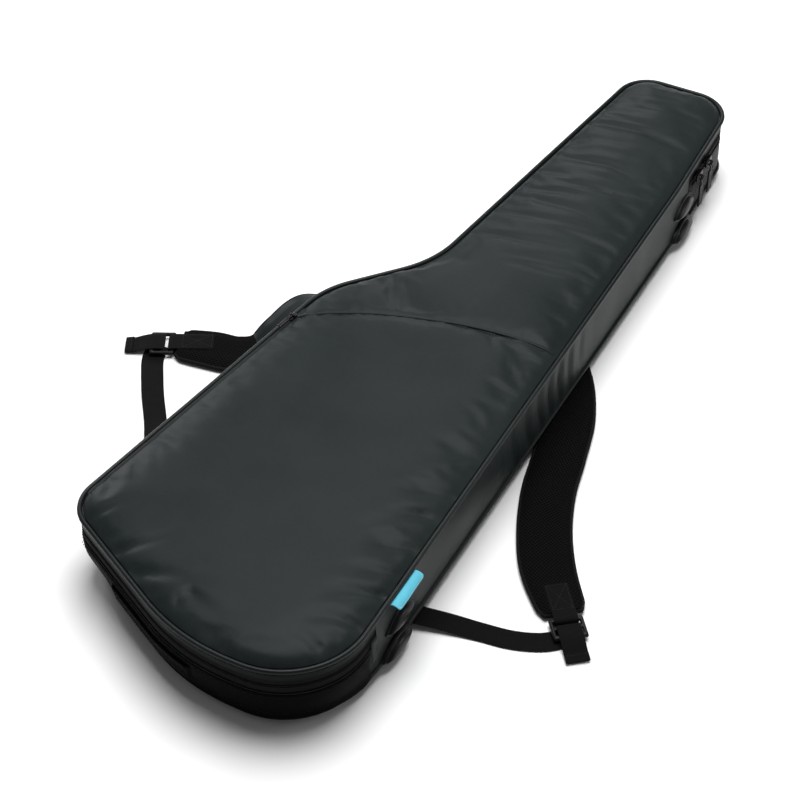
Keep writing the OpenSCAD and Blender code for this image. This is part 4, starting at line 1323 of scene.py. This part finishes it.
INNER = spaced(0, TOTAL, 5)[:-1]
low_section = pad_section(17, ZIP_Z - 0.8, 4.5, 1.0)
low_profile = np.array([low_section - np.column_stack([tucked(s, low_section[:, 1]), np.zeros(len(low_section))])
                        for s in INNER])
wall_pad = sweep("pad_wall_low", INNER, low_profile, M_LINING, wrap=True,
                 **on("base", "lining", "base_lining", "base_wall_foam"))
lid_pad = sweep("pad_wall_high", INNER, pad_section(ZIP_Z + 0.8, 84, 1.0, 4.5), M_LINING, wrap=True,
                **on("lid", "lining", "lid_lining"))


def quilted(z, sign):
    def height(xy):
        d = edge_distance(xy)
        a = np.abs(np.sin(math.pi * (xy[:, 0] + xy[:, 1]) / 74))
        b = np.abs(np.sin(math.pi * (xy[:, 0] - xy[:, 1]) / 74))
        puff = 1.7 * np.minimum(1, 2.2 * np.minimum(a, b)) ** 0.5
        return z + sign * (puff * smooth01((d - LINED) / 12) - 1.2)
    return height


inner_ring = rim(INNER, -LINED + 1.0)[0]
floor_pad = shell("pad_floor", inner_ring, 6.5, quilted(27.2, 1), 2.0, M_LINING,
                  **on("base", "lining", "base_floor_foam"))
ceiling = shell("pad_ceiling", inner_ring, 6.5, quilted(76.8, -1), 2.0, M_LINING, looks_down=True,
                **on("lid", "lining", "lid_foam"))

tape_y = np.linspace(ZONE_LOW + 20, ZONE_LOW + 720, 140)
rings = np.array([np.column_stack([SPINE_X - LINED - 1.4 + sec[:, 0], np.full(len(sec), y), sec[:, 1]])
                  for y in tape_y for sec in [round_rect(-0.5, 0.5, ZIP_Z - 16, ZIP_Z - 1, 0.4, steps=2)]])
tube("hinge_binding", rings, M_TAPE, **on("base", "lining", "spine_hinge_tape"))


def softened(name, node_name):
    """A CAD block's own shape made soft: remeshed, relaxed and swollen under cloth pressure."""
    obj = add(name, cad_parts[node_name].data.copy())
    obj.data.materials.clear()
    obj.data.materials.append(M_FOAM)
    settle(obj, ("REMESH", {"mode": "VOXEL", "voxel_size": 4.0 * MM}), ("SMOOTH", {"factor": 0.6, "iterations": 6}))
    drape(obj, lambda xyz: (xyz[:, 2] < xyz[:, 2].min() + 1).astype(float), 3.0, 3.0, 0.0, 4.0)
    settle(obj, ("SUBSURF", {"levels": 1, "render_levels": 1}))
    place(obj, "base", "foam", (node_name,))


softened("cradle_block", "neck_cradle")
softened("tail_block_pad", "tail_block")
u, v = grid(31, 13)
lift = 0.6 * np.sin(u * math.pi)
top, low = (np.stack([30 + u * 106, 227 + v * 36, z + lift], -1) for z in (54, 52.2))
slab("neck_keeper", top, low, M_TAPE, **on("base", "webbing", "neck_strap"))
stitches("neck_keeper_stitch", rectangle(34, 132, 231, 259, 54.3), (0, 0, 1), M_THREAD, **on("base", "webbing"))

# ---------------------------------------------------------------- floor, light and camera
def soft_light(name, at, toward, size, power):
    data = bpy.data.lights.new(name, "AREA")
    data.shape, data.size, data.energy = "DISK", size, power
    lamp = add(name, data)
    lamp.location = at
    lamp.rotation_euler = (Vector(toward) - Vector(at)).to_track_quat("-Z", "Y").to_euler()


FLOOR_HALF, WORLD_STRENGTH = 9, 0.15
floor_data = bpy.data.meshes.new("floor")
floor_data.from_pydata([(x * FLOOR_HALF, y * FLOOR_HALF, 0) for x, y in ((-1, -1), (1, -1), (1, 1), (-1, 1))],
                       [], [(0, 1, 2, 3)])
floor = add("floor", floor_data)
floor_data.materials.append(tree("floor_white", Base_Color=(0.93, 0.93, 0.93, 1), Roughness=0.9,
                                 Specular_IOR_Level=0.1)[0])
floor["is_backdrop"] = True

world = bpy.data.worlds.new("studio")
world.use_nodes = True
sky = world.node_tree.nodes["Background"]
sky.inputs[0].default_value, sky.inputs[1].default_value = (1, 1, 1, 1), WORLD_STRENGTH
bpy.context.scene.world = world
bpy.context.scene.view_settings.view_transform = "Standard"

soft_light("overhead", (-0.1, 0.5, 2.6), (0, 0, 0), 2.2, 100)
soft_light("far_side", (-1.0, 2.3, 1.3), (0, 0, 0), 0.8, 10)
soft_light("left_side", (-2.1, 1.2, 1.1), (0, -0.1, 0), 1.2, 20)
soft_light("right_side", (2.2, 1.3, 0.9), (0.1, 0.1, 0), 0.9, 8)

AZIMUTH, ELEVATION, DISTANCE, LENS = math.radians(27.27), math.radians(42.65), 2.731, 112.0
TARGET = Vector((0.0067, -0.0577, 0.014))
cam_data = bpy.data.cameras.new("camera")
cam_data.lens, cam_data.sensor_width, cam_data.clip_start, cam_data.clip_end = LENS, 36.0, 0.05, 60
camera = add("camera", cam_data)
away = Vector((math.sin(AZIMUTH) * math.cos(ELEVATION), -math.cos(AZIMUTH) * math.cos(ELEVATION),
               math.sin(ELEVATION)))
camera.location = TARGET + away * DISTANCE
camera.rotation_euler = (-away).to_track_quat("-Z", "Y").to_euler()
bpy.context.scene.camera = camera

low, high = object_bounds()
